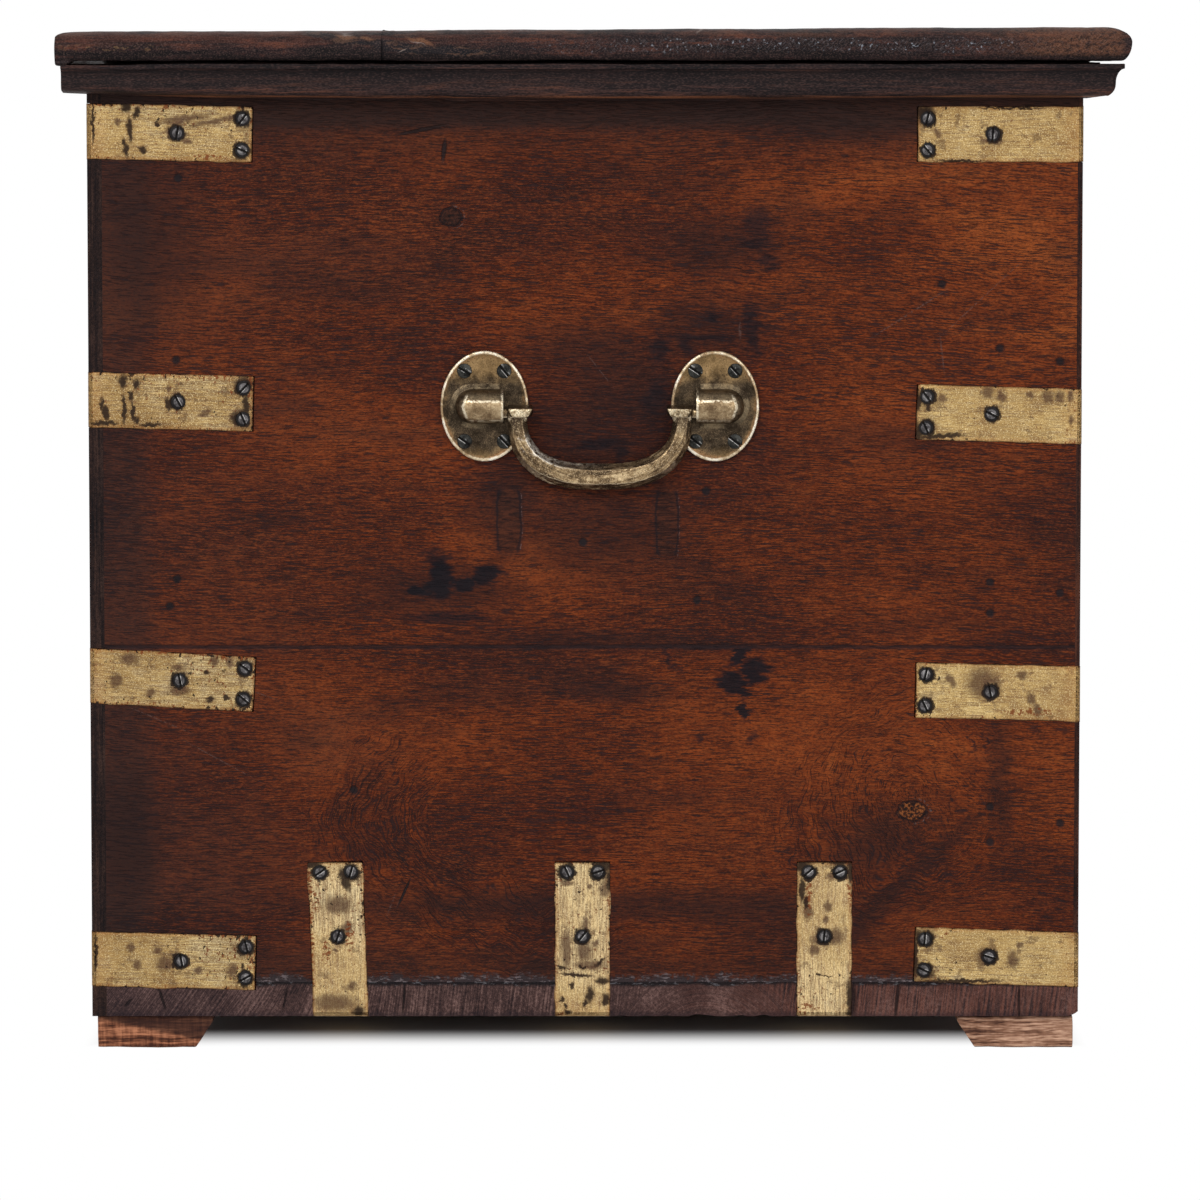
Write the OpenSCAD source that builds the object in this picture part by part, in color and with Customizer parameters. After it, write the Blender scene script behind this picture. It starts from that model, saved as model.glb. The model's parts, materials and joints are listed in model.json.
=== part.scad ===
// Brass-bound hardwood military trunk with a hinged lid and drop handles.
// Millimetres. X runs along the length, the front faces -Y, +Z is up.
// The origin is on the floor, under the middle of the lid.

/* [Case] */
// Length of the case from end to end
case_length = 914; // [760:1:1070]
// Depth of the case from front to back
case_depth = 457; // [406:1:508]
// Height of the case from its underside to the rim
case_height = 438; // [400:1:480]
// Thickness of the front and back boards
wall_t = 19; // [18:0.5:22]
// Thickness of the end boards
end_t = 19; // [18:0.5:22]
// Thickness of the bottom boards
bottom_t = 16; // [15:0.5:20]
// Edge of the front boards that shows on each end
front_lap = 2.3; // [2:0.1:5]
// Edge of the back boards that shows on each end
back_lap = 6.7; // [4:0.1:9]
// Height of the lower wall boards above the bottom boards
lower_board = 156; // [120:1:180]
// Width of the narrow front strip of the bottom
bottom_strip = 28; // [22:1:40]

/* [Feet] */
// Height of the feet
foot_height = 15.2; // [10:0.1:25]
// Length of a foot from front to back
foot_length = 54; // [44:1:70]
// Width of a foot along the chest
foot_width = 62; // [40:1:90]
// Distance of the feet in from the faces of the case
foot_inset = 2; // [0:0.5:10]
// How far the inner end of a foot slants back
foot_slant = 8; // [2:0.5:16]
// Upright part of a foot's inner end, above the slant
foot_step = 3; // [1:0.5:8]

/* [Lid] */
// Thickness of the lid boards
lid_t = 18; // [16:0.5:24]
// Overhang of the lid past the front and the ends
lid_over = 21; // [18.5:0.5:30]
// Overhang of the lid past the back
lid_back = 13; // [12:0.5:20]
// Width of the narrow back board of the lid
lid_board = 149; // [100:1:240]
// Gap between the rim and the closed lid
lid_gap = 0.3; // [0.2:0.1:0.6]

/* [Moulding] */
// Height of the moulding under the lid
mould_h = 14.2; // [12:0.1:18]
// Width of the moulding
mould_w = 16.5; // [13:0.1:17]
// Running clearance between the moulding and the case
mould_gap = 1; // [0.6:0.1:2]
// Length of the end mouldings past the back of the case
mould_tail = 11; // [2:0.5:12]

/* [Brass straps] */
// Width of a strap
strap_w = 25; // [20:0.5:30]
// Length of each leg of a corner strap
strap_l = 76; // [66:1:90]
// Thickness of a strap
strap_t = 2; // [1.8:0.1:3]
// How far a strap stands proud of the wood
strap_proud = 0.3; // [0.2:0.1:0.5]
// Gap round a strap in its recess
strap_fit = 0.3; // [0.2:0.1:0.6]
// Centre of the top strap below the rim
strap_top = 29.2; // [28:0.1:50]
// Centre of the lowest corner strap above the underside
strap_low = 26.8; // [16:0.1:50]
// Height of each back strap above its even place, from the top
back_lift = [0.6, 4.6, 4.6, 0]; // [-6:0.1:6]
// Height of each front strap above its even place, from the top
front_lift = [-0.8, -3.2, -4, -0.5]; // [-6:0.1:6]
// Slope of each back strap across the end, in degrees
back_slope = [1.2, 1.4, 3.2, 1.4]; // [-4:0.1:4]
// Slope of each front strap across the end, in degrees
front_slope = [0, 1.7, 1.4, 2]; // [-4:0.1:4]
// Length of a bottom strap up the end
bottom_strap_l = 72; // [64:1:90]
// Spacing of the three bottom straps
bottom_pitch = 112; // [90:1:130]
// Middle bottom strap behind the middle of the case
bottom_shift = 1.2; // [-5:0.1:5]
// Slope of each bottom strap from front to back, in degrees
bottom_slope = [0, 0, -2]; // [-4:0.1:4]

/* [Wood screws] */
// Diameter of a screw head
head_d = 7; // [6:0.1:8]
// Diameter of a screw shank
shank_d = 3.8; // [3:0.1:4.4]
// Length of a screw
screw_l = 14; // [10:0.5:14]
// Width of a screw's slot
slot_w = 0.9; // [0.6:0.1:1.4]
// Depth of a screw's slot
slot_d = 0.9; // [0.5:0.1:1.2]
// Clearance round a screw in its hole
screw_fit = 0.1; // [0.05:0.01:0.2]
// Distance of the end screws from a strap's inner end
strap_end_screw = 4.6; // [4.4:0.1:8]
// Distance of the middle screw from a strap's inner end
strap_mid_screw = 34.6; // [20:0.1:36]
// Spacing of the two end screws across a strap
strap_gauge = 14.4; // [11:0.1:15]

/* [Drop handles] */
// Plate centres below the rim
handle_drop = 154.7; // [100:0.1:200]
// Handle centre in front of the middle of the end
handle_shift = 6.8; // [-20:0.1:20]
// Distance between the plate centres
plate_pitch = 106.2; // [100:0.1:120]
// Width of a plate
plate_w = 40.4; // [40:0.1:46]
// Height of a plate
plate_h = 50.8; // [48:0.1:60]
// Thickness of a plate
plate_t = 2.5; // [2.2:0.1:4]
// Screw spacing across a plate
plate_screw_x = 18.2; // [14:0.1:19]
// Screw spacing up a plate
plate_screw_y = 32.4; // [31:0.1:35]
// Radius of a socket's round back
boss_r = 8; // [7.6:0.1:8.6]
// Height of a socket's sides
boss_side = 1.2; // [1:0.1:3]
// Reach of a socket from the plate's centre towards the bail
boss_inner = 8.8; // [6:0.1:12]
// Reach of a socket from the plate's centre away from the bail
boss_outer = 13.4; // [12:0.1:16]
// Diameter of a bail's pins
bail_pin_d = 5; // [4:0.1:5.2]
// Length of a bail's pin inside its socket
bail_pin_l = 13; // [8:0.5:15]
// Radial running clearance of the pins
pin_fit = 0.05; // [0.02:0.01:0.1]
// Height of the pin line above the plate's face
pin_off = 4; // [3.8:0.1:4.4]
// Drop of the pin line below the plate's centre
pin_drop = 3.2; // [2:0.1:3.4]
// Gap between a shoulder and its socket
shoulder_gap = 1.8; // [0.5:0.1:3]
// Length of a shoulder along the pin line
shoulder_l = 12; // [9:0.5:14]
// Reach of a shoulder out from the pin line
shoulder_out = 7.5; // [5:0.5:9]
// Gap between a raised shoulder and the plate that stops it
stop_gap = 0.1; // [0.05:0.05:0.3]
// Depth of the bail from the pin line to the middle of the grip
bail_drop = 30.3; // [28:0.1:45]
// Thickness of the bail at the shoulders
arm_d = 6.4; // [5:0.1:7]
// Thickness of the bail at the grip
grip_d = 11.5; // [9:0.1:12]

/* [Hinges] */
// Distance of each hinge from its end of the case
hinge_inset = 157; // [130:1:250]
// Length of a hinge
hinge_l = 76; // [60:1:90]
// Width of a hinge leaf on the wood
leaf_w = 16; // [14:0.5:16.5]
// Thickness of a hinge leaf
leaf_t = 2; // [1.9:0.1:2.5]
// Diameter of the hinge barrel
barrel_d = 7; // [6:0.1:7.6]
// Diameter of a hinge pin
hinge_pin_d = 3.2; // [2.5:0.1:4]
// Hinge pin behind the back of the case
hinge_out = 3; // [2.6:0.1:3.2]

/* [Lock] */
// Width of the lock's back plate
lock_plate_w = 100; // [90:1:120]
// Height of the lock's back plate
lock_plate_h = 60; // [56:1:80]
// Width of the lock's box
lock_w = 76; // [74:1:84]
// Height of the lock's box
lock_h = 54; // [50:1:56]
// Depth of the lock's box into the front board
lock_d = 14; // [13:0.5:15]
// Thickness of the lock's walls
lock_wall = 2; // [1.5:0.1:2.5]
// Travel of the bolt
bolt_throw = 7.5; // [5:0.5:7.5]
// Height of the keyhole plate on the front
keyhole_h = 38; // [30:1:50]
// Width of the keyhole plate
keyhole_w = 24; // [18:1:34]

/* [Hidden] */
$fn = 48;
ENDS = ["left", "right"];
SIDES = ["front", "back"];
CORNERS = [for (e = ENDS) for (s = SIDES) str(e, "_", s)];
LEVELS = [1, 2, 3, 4];
PLACES = ["front", "middle", "back"];

teak = "#5a2413";
dark_teak = "#2a1512";
foot_wood = "#8a5136";
strap_brass = "#c9a75c";
handle_brass = "#8d7440";
steel = "#3a3c40";

case_y = (lid_over - lid_back) / 2;
case_front = case_y - case_depth / 2;
case_back = case_y + case_depth / 2;
end_x = case_length / 2;
floor_z = foot_height + bottom_t;
joint_z = floor_z + lower_board;
rim_z = foot_height + case_height;
lid_z = rim_z + lid_gap;
lid_length = case_length + 2 * lid_over;
lid_depth = case_depth + lid_over + lid_back;
past = 1;

head_h = 1.8;
head_sink = 0.1;
tip_l = 4;
shank_r = shank_d / 2;
head_r = head_d / 2;
slot_turn = 137.5;

strap_bed = strap_t - strap_proud;
strap_run = 6;
strap_step = (case_height - strap_top - strap_low) / 3;

handle_z = rim_z - handle_drop;
pin_z = plate_t + pin_off;
shoulder_r = pin_off - stop_gap;
shoulder_under = 0.9;
pin_root = 0.5;
shoulder_x = plate_pitch / 2 - boss_inner - shoulder_gap;
bail_half = shoulder_x - 0.38 * shoulder_l;
bail_power = 2.65;
bail_flat = 0.8;
pad_t = 0.8;
pad_out = 2.5;

hinge_x = end_x - hinge_inset;
hinge_y = case_back + hinge_out;
hinge_z = rim_z + lid_gap / 2;
barrel_r = barrel_d / 2;
barrel_fit = 0.4;
knuckles = 5;
knuckle_gap = 0.3;
knuckle_l = hinge_l / knuckles;
leaf_end = hinge_y - barrel_r - barrel_fit;
hinge_screw_pitch = 0.36 * hinge_l;

lock_y = case_front + wall_t;
loop_w = 9;
loop_t = 5;
loop_down = 13.5;
loop_bar = 2;
finger_w = 4;
finger_l = bolt_throw - 0.5;
loop_gap = 1;
post_w = 5;
finger_z = -10;
finger_top = -6;
rail_z = -16;
cavity_z = -24;
bolt_fit = 0.1;
loop_fit = 0.8;
post_x = [-27, 3];
link_w = 12;
link_l = 64;
key_r = 2;
key_slot_w = 2.4;
key_slot_l = 8;
key_drop = 38;
keyhole_t = 1.5;

// A stretch of an ellipse, from one angle to another
function arc(c, r, from, to, n = 8) =
    [for (i = [0:n]) let (a = from + (to - from) * i / n) c + [r.x * cos(a), r.y * sin(a)]];
function flipped(points) = [for (i = [len(points) - 1:-1:0]) [-points[i].x, points[i].y]];
function oval(w, h) = arc([0, 0], [w / 2, h / 2], 0, 355, 71);

// Frames: x runs along the face, y up it and z out of it
module on_front() translate([0, case_front, 0]) rotate([90, 0, 0]) children();
module on_back() translate([0, case_back, 0]) rotate([90, 0, 180]) children();
module on_end() translate([end_x, case_y, 0]) rotate([90, 0, 90]) children();
module under_end() translate([0, case_y, foot_height]) rotate([180, 0, 90]) children();
module at_side(side) mirror([side == "left" ? 1 : 0, 0, 0]) children();

// Wood screws
module screw() {
    difference() {
        union() {
            translate([0, 0, -head_h]) cylinder(h = head_h, r1 = shank_r, r2 = head_r);
            translate([0, 0, tip_l - screw_l]) cylinder(h = screw_l - tip_l - head_h, r = shank_r);
            translate([0, 0, -screw_l]) cylinder(h = tip_l, r1 = 0.2 * shank_r, r2 = shank_r);
        }
        translate([-head_r - past, -slot_w / 2, -slot_d]) cube([2 * (head_r + past), slot_w, slot_d + past]);
    }
}

module screw_hole() {
    translate([0, 0, -screw_l - screw_fit]) cylinder(h = screw_l + screw_fit, r = shank_r + screw_fit);
    translate([0, 0, -head_h]) cylinder(h = head_h, r1 = shank_r + screw_fit, r2 = head_r + screw_fit);
    cylinder(h = past, r = head_r + screw_fit);
}

// Corner straps, drawn at the right end
function strap_z(side, n) =
    rim_z - strap_top - (n - 1) * strap_step + (side == "front" ? front_lift[n - 1] : back_lift[n - 1]);

module strap_leg(reach, grow, top) {
    long = reach + grow + strap_run;
    translate([-strap_run, -strap_w / 2 - grow, -strap_bed]) cube([long, strap_w + 2 * grow, strap_bed + top]);
}

module leg_screws(reach, first) {
    spots = [
        [reach - strap_end_screw, strap_gauge / 2],
        [reach - strap_end_screw, -strap_gauge / 2],
        [reach - strap_mid_screw, 0]
    ];
    for (i = [0:2]) {
        translate([spots[i].x, spots[i].y, strap_proud - head_sink])
            rotate(slot_turn * (first + i)) children();
    }
}

module on_end_leg(side, n) {
    edge = side == "front" ? -case_depth / 2 : case_depth / 2;
    slope = side == "front" ? front_slope[n - 1] : back_slope[n - 1];
    on_end() translate([edge, strap_z(side, n), 0]) rotate(slope)
        mirror([side == "front" ? 0 : 1, 0, 0]) children();
}

module on_face_leg(side, n) {
    if (side == "front") on_front() translate([end_x, strap_z(side, n), 0]) mirror([1, 0, 0]) children();
    if (side == "back") on_back() translate([-end_x, strap_z(side, n), 0]) children();
}

module corner_strap_body(side, n, grow, top) {
    intersection() {
        union() {
            on_end_leg(side, n) strap_leg(strap_l, grow, top);
            on_face_leg(side, n) strap_leg(strap_l, grow, top);
        }
        translate([0, case_front - top, 0]) cube([end_x + top, case_depth + 2 * top, rim_z]);
    }
}

module corner_strap(side, n) {
    color(strap_brass) difference() {
        corner_strap_body(side, n, 0, strap_proud);
        on_end_leg(side, n) leg_screws(strap_l, n) screw_hole();
        on_face_leg(side, n) leg_screws(strap_l, n + 5) screw_hole();
    }
}

// Bottom straps, drawn at the right end
function place(p) = p == "front" ? -1 : p == "back" ? 1 : 0;
function bottom_strap_y(p) = place(p) * bottom_pitch + bottom_shift;

module on_up_leg(p) {
    on_end() translate([bottom_strap_y(p), foot_height, 0]) rotate(90 + bottom_slope[place(p) + 1]) children();
}

module on_under_leg(p) {
    under_end() translate([bottom_strap_y(p), end_x, 0]) rotate(-90) children();
}

module bottom_strap_body(p, grow, top) {
    intersection() {
        union() {
            on_up_leg(p) strap_leg(bottom_strap_l, grow, top);
            on_under_leg(p) strap_leg(strap_l, grow, top);
        }
        translate([0, case_front, foot_height - top]) cube([end_x + top, case_depth, case_height]);
    }
}

module bottom_strap(p) {
    color(strap_brass) difference() {
        bottom_strap_body(p, 0, strap_proud);
        on_up_leg(p) leg_screws(bottom_strap_l, place(p) + 3) screw_hole();
        on_under_leg(p) leg_screws(strap_l, place(p) + 9) screw_hole();
    }
}

// Drop handles, drawn at the right end
module on_handle() {
    on_end() translate([-handle_shift, handle_z, 0]) children();
}

module on_plate(side) {
    on_handle() mirror([side == "front" ? 1 : 0, 0, 0]) translate([plate_pitch / 2, 0, 0]) children();
}

module plate_screws() {
    for (x = [-1, 1]) for (y = [-1, 1]) {
        translate([x * plate_screw_x / 2, y * plate_screw_y / 2, plate_t - head_sink])
            rotate(45 + slot_turn * (x + 2 * y)) children();
    }
}

module socket(r, base, side) {
    run = boss_inner + boss_outer - boss_r;
    translate([-boss_inner, -r, base]) cube([run, 2 * r, side]);
    translate([run - boss_inner, 0, base]) cylinder(h = side, r = r);
}

module socket_back() {
    run = boss_inner + boss_outer - boss_r;
    intersection() {
        translate([0, 0, plate_t + boss_side]) {
            translate([-boss_inner, 0, 0]) rotate([0, 90, 0]) cylinder(h = run, r = boss_r);
            translate([run - boss_inner, 0, 0]) sphere(r = boss_r);
        }
        translate([-plate_w, -plate_h, plate_t / 2]) cube([2 * plate_w, 2 * plate_h, 2 * boss_r]);
    }
}

module handle_plate(side) {
    color(handle_brass) on_plate(side) difference() {
        union() {
            linear_extrude(plate_t) polygon(oval(plate_w, plate_h));
            socket(boss_r + pad_out, plate_t / 2, plate_t / 2 + pad_t);
            socket(boss_r, plate_t / 2, plate_t / 2 + boss_side);
            socket_back();
        }
        plate_screws() screw_hole();
        translate([-boss_inner - past, -pin_drop, pin_z])
            rotate([0, 90, 0]) cylinder(h = past + bail_pin_l + past / 2, r = bail_pin_d / 2 + pin_fit);
    }
}

// The bail's middle line is a superellipse, and its thickness grows towards the grip
function signed_power(v, p) = sign(v) * pow(abs(v), p);
function bail_point(a) =
    [bail_half * signed_power(cos(a), 2 / bail_power), -bail_drop * pow(abs(sin(a)), 2 / bail_power)];
function bail_radius(a) = (arm_d + (grip_d - arm_d) * pow(abs(sin(a)), 2 / bail_power)) / 2;
function bail_normal(a) =
    let (d = bail_point(min(a + 1, 180)) - bail_point(max(a - 1, 0))) [-d.y, d.x] / norm(d);
function bail_ring(a, sides) =
    [for (j = [0:sides - 1])
        let (f = 360 * j / sides, q = bail_point(a) + bail_radius(a) * cos(f) * bail_normal(a))
        [q.x, q.y, bail_flat * bail_radius(a) * sin(f)]];

module bail_bar(rings = 44, sides = 16) {
    points = [for (i = [0:rings]) each bail_ring(180 * i / rings, sides)];
    walls = [for (i = [0:rings - 1]) for (j = [0:sides - 1])
        let (k = (j + 1) % sides, a = i * sides, b = a + sides)
        each [[a + j, b + j, b + k], [a + j, b + k, a + k]]];
    caps = [for (j = [1:sides - 2]) each
        let (e = rings * sides) [[0, j, j + 1], [e, e + j + 1, e + j]]];
    polyhedron(points, concat(walls, caps));
}

function shoulder_outline() = concat(
    [[-shoulder_under, shoulder_out]],
    arc([0, 0], [shoulder_r, shoulder_r], -90 - asin(shoulder_under / shoulder_r), 0, 12),
    [[shoulder_r, shoulder_out]]
);

module bail() {
    color(handle_brass) on_handle() translate([0, -pin_drop, pin_z]) {
        bail_bar();
        for (m = [0, 1]) mirror([m, 0, 0]) {
            translate([shoulder_x - shoulder_l, 0, 0]) rotate([90, 0, 90])
                linear_extrude(shoulder_l) polygon(shoulder_outline());
            translate([shoulder_x - pin_root, 0, 0]) rotate([0, 90, 0])
                cylinder(h = pin_root + shoulder_gap + bail_pin_l, r = bail_pin_d / 2);
        }
    }
}

// What is cut out of the wood of one end
module end_fittings() {
    for (s = SIDES) for (n = LEVELS) {
        corner_strap_body(s, n, strap_fit, past);
        on_end_leg(s, n) leg_screws(strap_l, n) screw_hole();
    }
    for (p = PLACES) {
        bottom_strap_body(p, strap_fit, past);
        on_up_leg(p) leg_screws(bottom_strap_l, place(p) + 3) screw_hole();
    }
    for (s = SIDES) on_plate(s) plate_screws() screw_hole();
}

// What is cut out of the front or the back for the corner straps
module face_fittings(side) {
    for (e = ENDS) at_side(e) for (n = LEVELS) {
        corner_strap_body(side, n, strap_fit, past);
        on_face_leg(side, n) leg_screws(strap_l, n + 5) screw_hole();
    }
}

// Case boards
module end_board(half) {
    low = half == "lower" ? floor_z : joint_z;
    high = half == "lower" ? joint_z : rim_z;
    color(teak) difference() {
        translate([end_x - end_t, case_front + front_lap, low])
            cube([end_t, case_depth - front_lap - back_lap, high - low]);
        end_fittings();
    }
}

module rabbeted(low, high, front, depth, lap_y) {
    difference() {
        translate([-end_x, front, low]) cube([case_length, depth, high - low]);
        for (m = [0, 1]) mirror([m, 0, 0])
            translate([end_x - end_t, lap_y, low - past]) cube([end_t + past, depth, high - low + 2 * past]);
    }
}

module front_board(half) {
    low = half == "lower" ? floor_z : joint_z;
    high = half == "lower" ? joint_z : rim_z;
    color(teak) difference() {
        rabbeted(low, high, case_front, wall_t, case_front + front_lap);
        face_fittings("front");
        if (half == "upper") lock_fittings();
    }
}

module back_board(half) {
    low = half == "lower" ? foot_height : joint_z;
    high = half == "lower" ? joint_z : rim_z;
    color(teak) difference() {
        rabbeted(low, high, case_back - wall_t, wall_t, case_back - back_lap - wall_t);
        translate([-end_x - past, case_back - back_lap - wall_t, foot_height - past])
            cube([case_length + 2 * past, wall_t, bottom_t + past]);
        face_fittings("back");
        if (half == "upper") hinge_fittings();
    }
}

module bottom_piece(front, back) {
    color(teak) difference() {
        translate([-end_x, front, foot_height]) cube([case_length, back - front, bottom_t]);
        for (e = ENDS) at_side(e) {
            for (p = PLACES) {
                bottom_strap_body(p, strap_fit, past);
                on_under_leg(p) leg_screws(strap_l, place(p) + 9) screw_hole();
            }
            for (s = SIDES) {
                corner_strap_body(s, len(LEVELS), strap_fit, past);
                on_end_leg(s, len(LEVELS)) leg_screws(strap_l, len(LEVELS)) screw_hole();
            }
        }
    }
}

module foot(side) {
    edge = case_depth / 2 - foot_inset;
    inner = edge - foot_length;
    profile = [
        [edge, 0],
        [edge, foot_height],
        [inner, foot_height],
        [inner, foot_height - foot_step],
        [inner + foot_slant, 0]
    ];
    color(foot_wood) translate([end_x - foot_inset - foot_width, case_y, 0])
        mirror([0, side == "front" ? 1 : 0, 0]) rotate([90, 0, 90]) linear_extrude(foot_width) polygon(profile);
}

// Lid
module lid_blank() {
    apex = 0.55 * lid_t;
    top = [13, lid_t - apex];
    low = [5, apex];
    half_y = lid_depth / 2;
    half_x = lid_length / 2;
    back_top = [7, 3];
    back_low = [1.5, 1.5];
    nose_y = concat(
        arc([-half_y + top.x, apex], top, 90, 180),
        arc([-half_y + low.x, apex], low, 180, 270),
        arc([half_y - back_low.x, back_low.y], back_low, 270, 360, 4),
        arc([half_y - back_top.x, lid_t - back_top.y], back_top, 0, 90, 6)
    );
    nose_x = concat(
        arc([half_x - top.x, apex], top, 90, 0),
        arc([half_x - low.x, apex], low, 0, -90)
    );
    translate([0, 0, lid_z]) intersection() {
        rotate([90, 0, 90]) linear_extrude(lid_length, center = true) polygon(nose_y);
        rotate([90, 0, 0]) linear_extrude(lid_depth, center = true) polygon(concat(nose_x, flipped(nose_x)));
    }
}

module lid_part(front, back) {
    color(dark_teak) difference() {
        intersection() {
            lid_blank();
            translate([-lid_length, front, lid_z - past]) cube([2 * lid_length, back - front, lid_t + 2 * past]);
        }
        hinge_fittings();
        link_fittings();
    }
}

// Moulding: a fillet over a cove over a bead, with a shadow line under the lid
function moulding_outline() =
    let (line = 0.6, land = 6, fillet = 2.8, cove = [3.8, 5.4], bead = [4.2, 4.8])
    let (cove_z = fillet + cove.y, wide = mould_w)
    concat(
        [[0, 0], [land, 0], [land, -line], [wide, -line]],
        arc([wide, -cove_z], cove, 90, 180),
        arc([wide - cove.x - bead.x, -cove_z - 0.2], bead, 0, -90),
        [[0, -mould_h]]
    );

module front_moulding() {
    inner = end_x + mould_gap;
    outer = inner + mould_w;
    y = case_front - mould_gap;
    color(dark_teak) intersection() {
        translate([0, y, lid_z]) mirror([0, 1, 0]) rotate([90, 0, 90])
            linear_extrude(2 * outer, center = true) polygon(moulding_outline());
        translate([0, 0, lid_z - mould_h - past]) linear_extrude(mould_h + 2 * past)
            polygon([[-inner, y], [-outer, y - mould_w], [outer, y - mould_w], [inner, y]]);
    }
}

module end_moulding() {
    inner = end_x + mould_gap;
    outer = inner + mould_w;
    y = case_front - mould_gap;
    tail = case_back + mould_tail;
    color(dark_teak) intersection() {
        translate([inner, tail, lid_z]) rotate([90, 0, 0])
            linear_extrude(tail - y + mould_w) polygon(moulding_outline());
        translate([0, 0, lid_z - mould_h - past]) linear_extrude(mould_h + 2 * past)
            polygon([[inner, tail + past], [outer, tail + past], [outer, y - mould_w], [inner, y]]);
    }
}

// Hinges, drawn at the right
module on_hinge() translate([hinge_x, hinge_y, hinge_z]) rotate([0, 90, 0]) children();
module knuckle(i) {
    on_hinge() translate([0, 0, i * knuckle_l - hinge_l / 2 + knuckle_gap / 2])
        cylinder(h = knuckle_l - knuckle_gap, r = barrel_r);
}

module hinge_screws(z, up) {
    for (i = [-1:1]) {
        translate([hinge_x + i * hinge_screw_pitch, case_back - wall_t / 2, z])
            mirror([0, 0, up]) translate([0, 0, -head_sink]) rotate(slot_turn * (i + 3)) children();
    }
}

module hinge_leaf(z, first, up) {
    reach = case_back - leaf_w;
    color(handle_brass) difference() {
        union() {
            translate([hinge_x - hinge_l / 2, reach, z]) cube([hinge_l, leaf_end - reach, leaf_t]);
            for (i = [first:2:knuckles - 1]) {
                knuckle(i);
                translate([hinge_x - hinge_l / 2 + i * knuckle_l + knuckle_gap / 2, leaf_end - past, z])
                    cube([knuckle_l - knuckle_gap, hinge_y - leaf_end + past, leaf_t]);
            }
        }
        on_hinge() cylinder(h = 2 * hinge_l, r = hinge_pin_d / 2 + pin_fit, center = true);
        hinge_screws(up == 1 ? lid_z : rim_z, up) screw_hole();
    }
}

module hinge_pin() {
    color(steel) on_hinge() cylinder(h = hinge_l, r = hinge_pin_d / 2, center = true);
}

module hinge_fittings() {
    reach = case_back - leaf_w - screw_fit;
    long = hinge_l + 2 * screw_fit;
    for (e = ENDS) at_side(e) {
        translate([hinge_x - long / 2, reach, rim_z - leaf_t]) cube([long, hinge_y - reach, 2 * leaf_t + lid_gap]);
        on_hinge() cylinder(h = long, r = barrel_r + barrel_fit, center = true);
        hinge_screws(rim_z, 0) screw_hole();
        hinge_screws(lid_z, 1) screw_hole();
    }
}

// Lock in the inner face of the front board, with its plate under the lid
module on_lock() translate([0, lock_y - lock_d / 2, rim_z]) children();
module lock_block(x, y, low, high) translate([x[0], -y / 2, low]) cube([x[1] - x[0], y, high - low]);
function loop_x(i) = post_x[i] + post_w + finger_l + loop_gap;

module lock_screws() {
    for (x = [-1, 1]) for (z = [12, lock_plate_h - 12]) {
        translate([x * (lock_plate_w + lock_w) / 4, lock_y, rim_z - z])
            rotate([-90, 0, 0]) translate([0, 0, -head_sink]) rotate(slot_turn * (x + z)) children();
    }
}

module keyhole(depth) {
    on_front() translate([0, rim_z - key_drop, -depth]) {
        cylinder(h = depth + past, r = key_r);
        translate([-key_slot_w / 2, -key_slot_l, 0]) cube([key_slot_w, key_slot_l, depth + past]);
    }
}

module lock_case() {
    inside = lock_w / 2 - lock_wall;
    deep = lock_d - 2 * lock_wall;
    plate = lock_plate_w / 2;
    color(steel) difference() {
        union() {
            on_lock() lock_block([-lock_w / 2, lock_w / 2], lock_d, -lock_h, 0);
            translate([-plate, lock_y - lock_wall, rim_z - lock_plate_h]) cube([2 * plate, lock_wall, lock_plate_h]);
        }
        on_lock() lock_block([-inside, inside], deep, cavity_z, -lock_wall);
        for (i = [0, 1]) {
            on_lock() lock_block(
                [loop_x(i) - loop_fit, loop_x(i) + loop_t + loop_fit],
                loop_w + 2 * loop_fit,
                -lock_wall - past,
                past
            );
        }
        keyhole(wall_t - lock_d / 2);
        lock_screws() screw_hole();
    }
}

module lock_bolt() {
    deep = lock_d - 2 * lock_wall - 2 * bolt_fit;
    color(strap_brass) on_lock() {
        lock_block([post_x[0], post_x[1] + post_w + finger_l], deep, cavity_z + bolt_fit, rail_z);
        for (x = post_x) {
            lock_block([x, x + post_w], finger_w, rail_z - past, finger_top);
            lock_block([x + post_w - past, x + post_w + finger_l], finger_w, finger_z, finger_top);
        }
    }
}

module link_screws() {
    for (x = [-1, 1]) {
        translate([x * (link_l / 2 - head_d), lock_y - lock_d / 2, lid_z])
            mirror([0, 0, 1]) translate([0, 0, -head_sink]) rotate(slot_turn * (x + 4)) children();
    }
}

module link_plate() {
    under = lid_z - rim_z;
    color(steel) difference() {
        union() {
            on_lock() lock_block([-link_l / 2, link_l / 2], link_w, under, under + leaf_t);
            for (i = [0, 1]) on_lock() lock_block([loop_x(i), loop_x(i) + loop_t], loop_w, -loop_down, under + past);
        }
        for (i = [0, 1]) {
            on_lock() lock_block(
                [loop_x(i) - past, loop_x(i) + loop_t + past],
                loop_w - 2 * loop_bar,
                loop_bar - loop_down,
                finger_top + past
            );
        }
        link_screws() screw_hole();
    }
}

module link_fittings() {
    long = link_l / 2 + screw_fit;
    translate([-long, lock_y - lock_d / 2 - link_w / 2 - screw_fit, lid_z - past])
        cube([2 * long, link_w + 2 * screw_fit, past + leaf_t]);
    link_screws() screw_hole();
}

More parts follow.
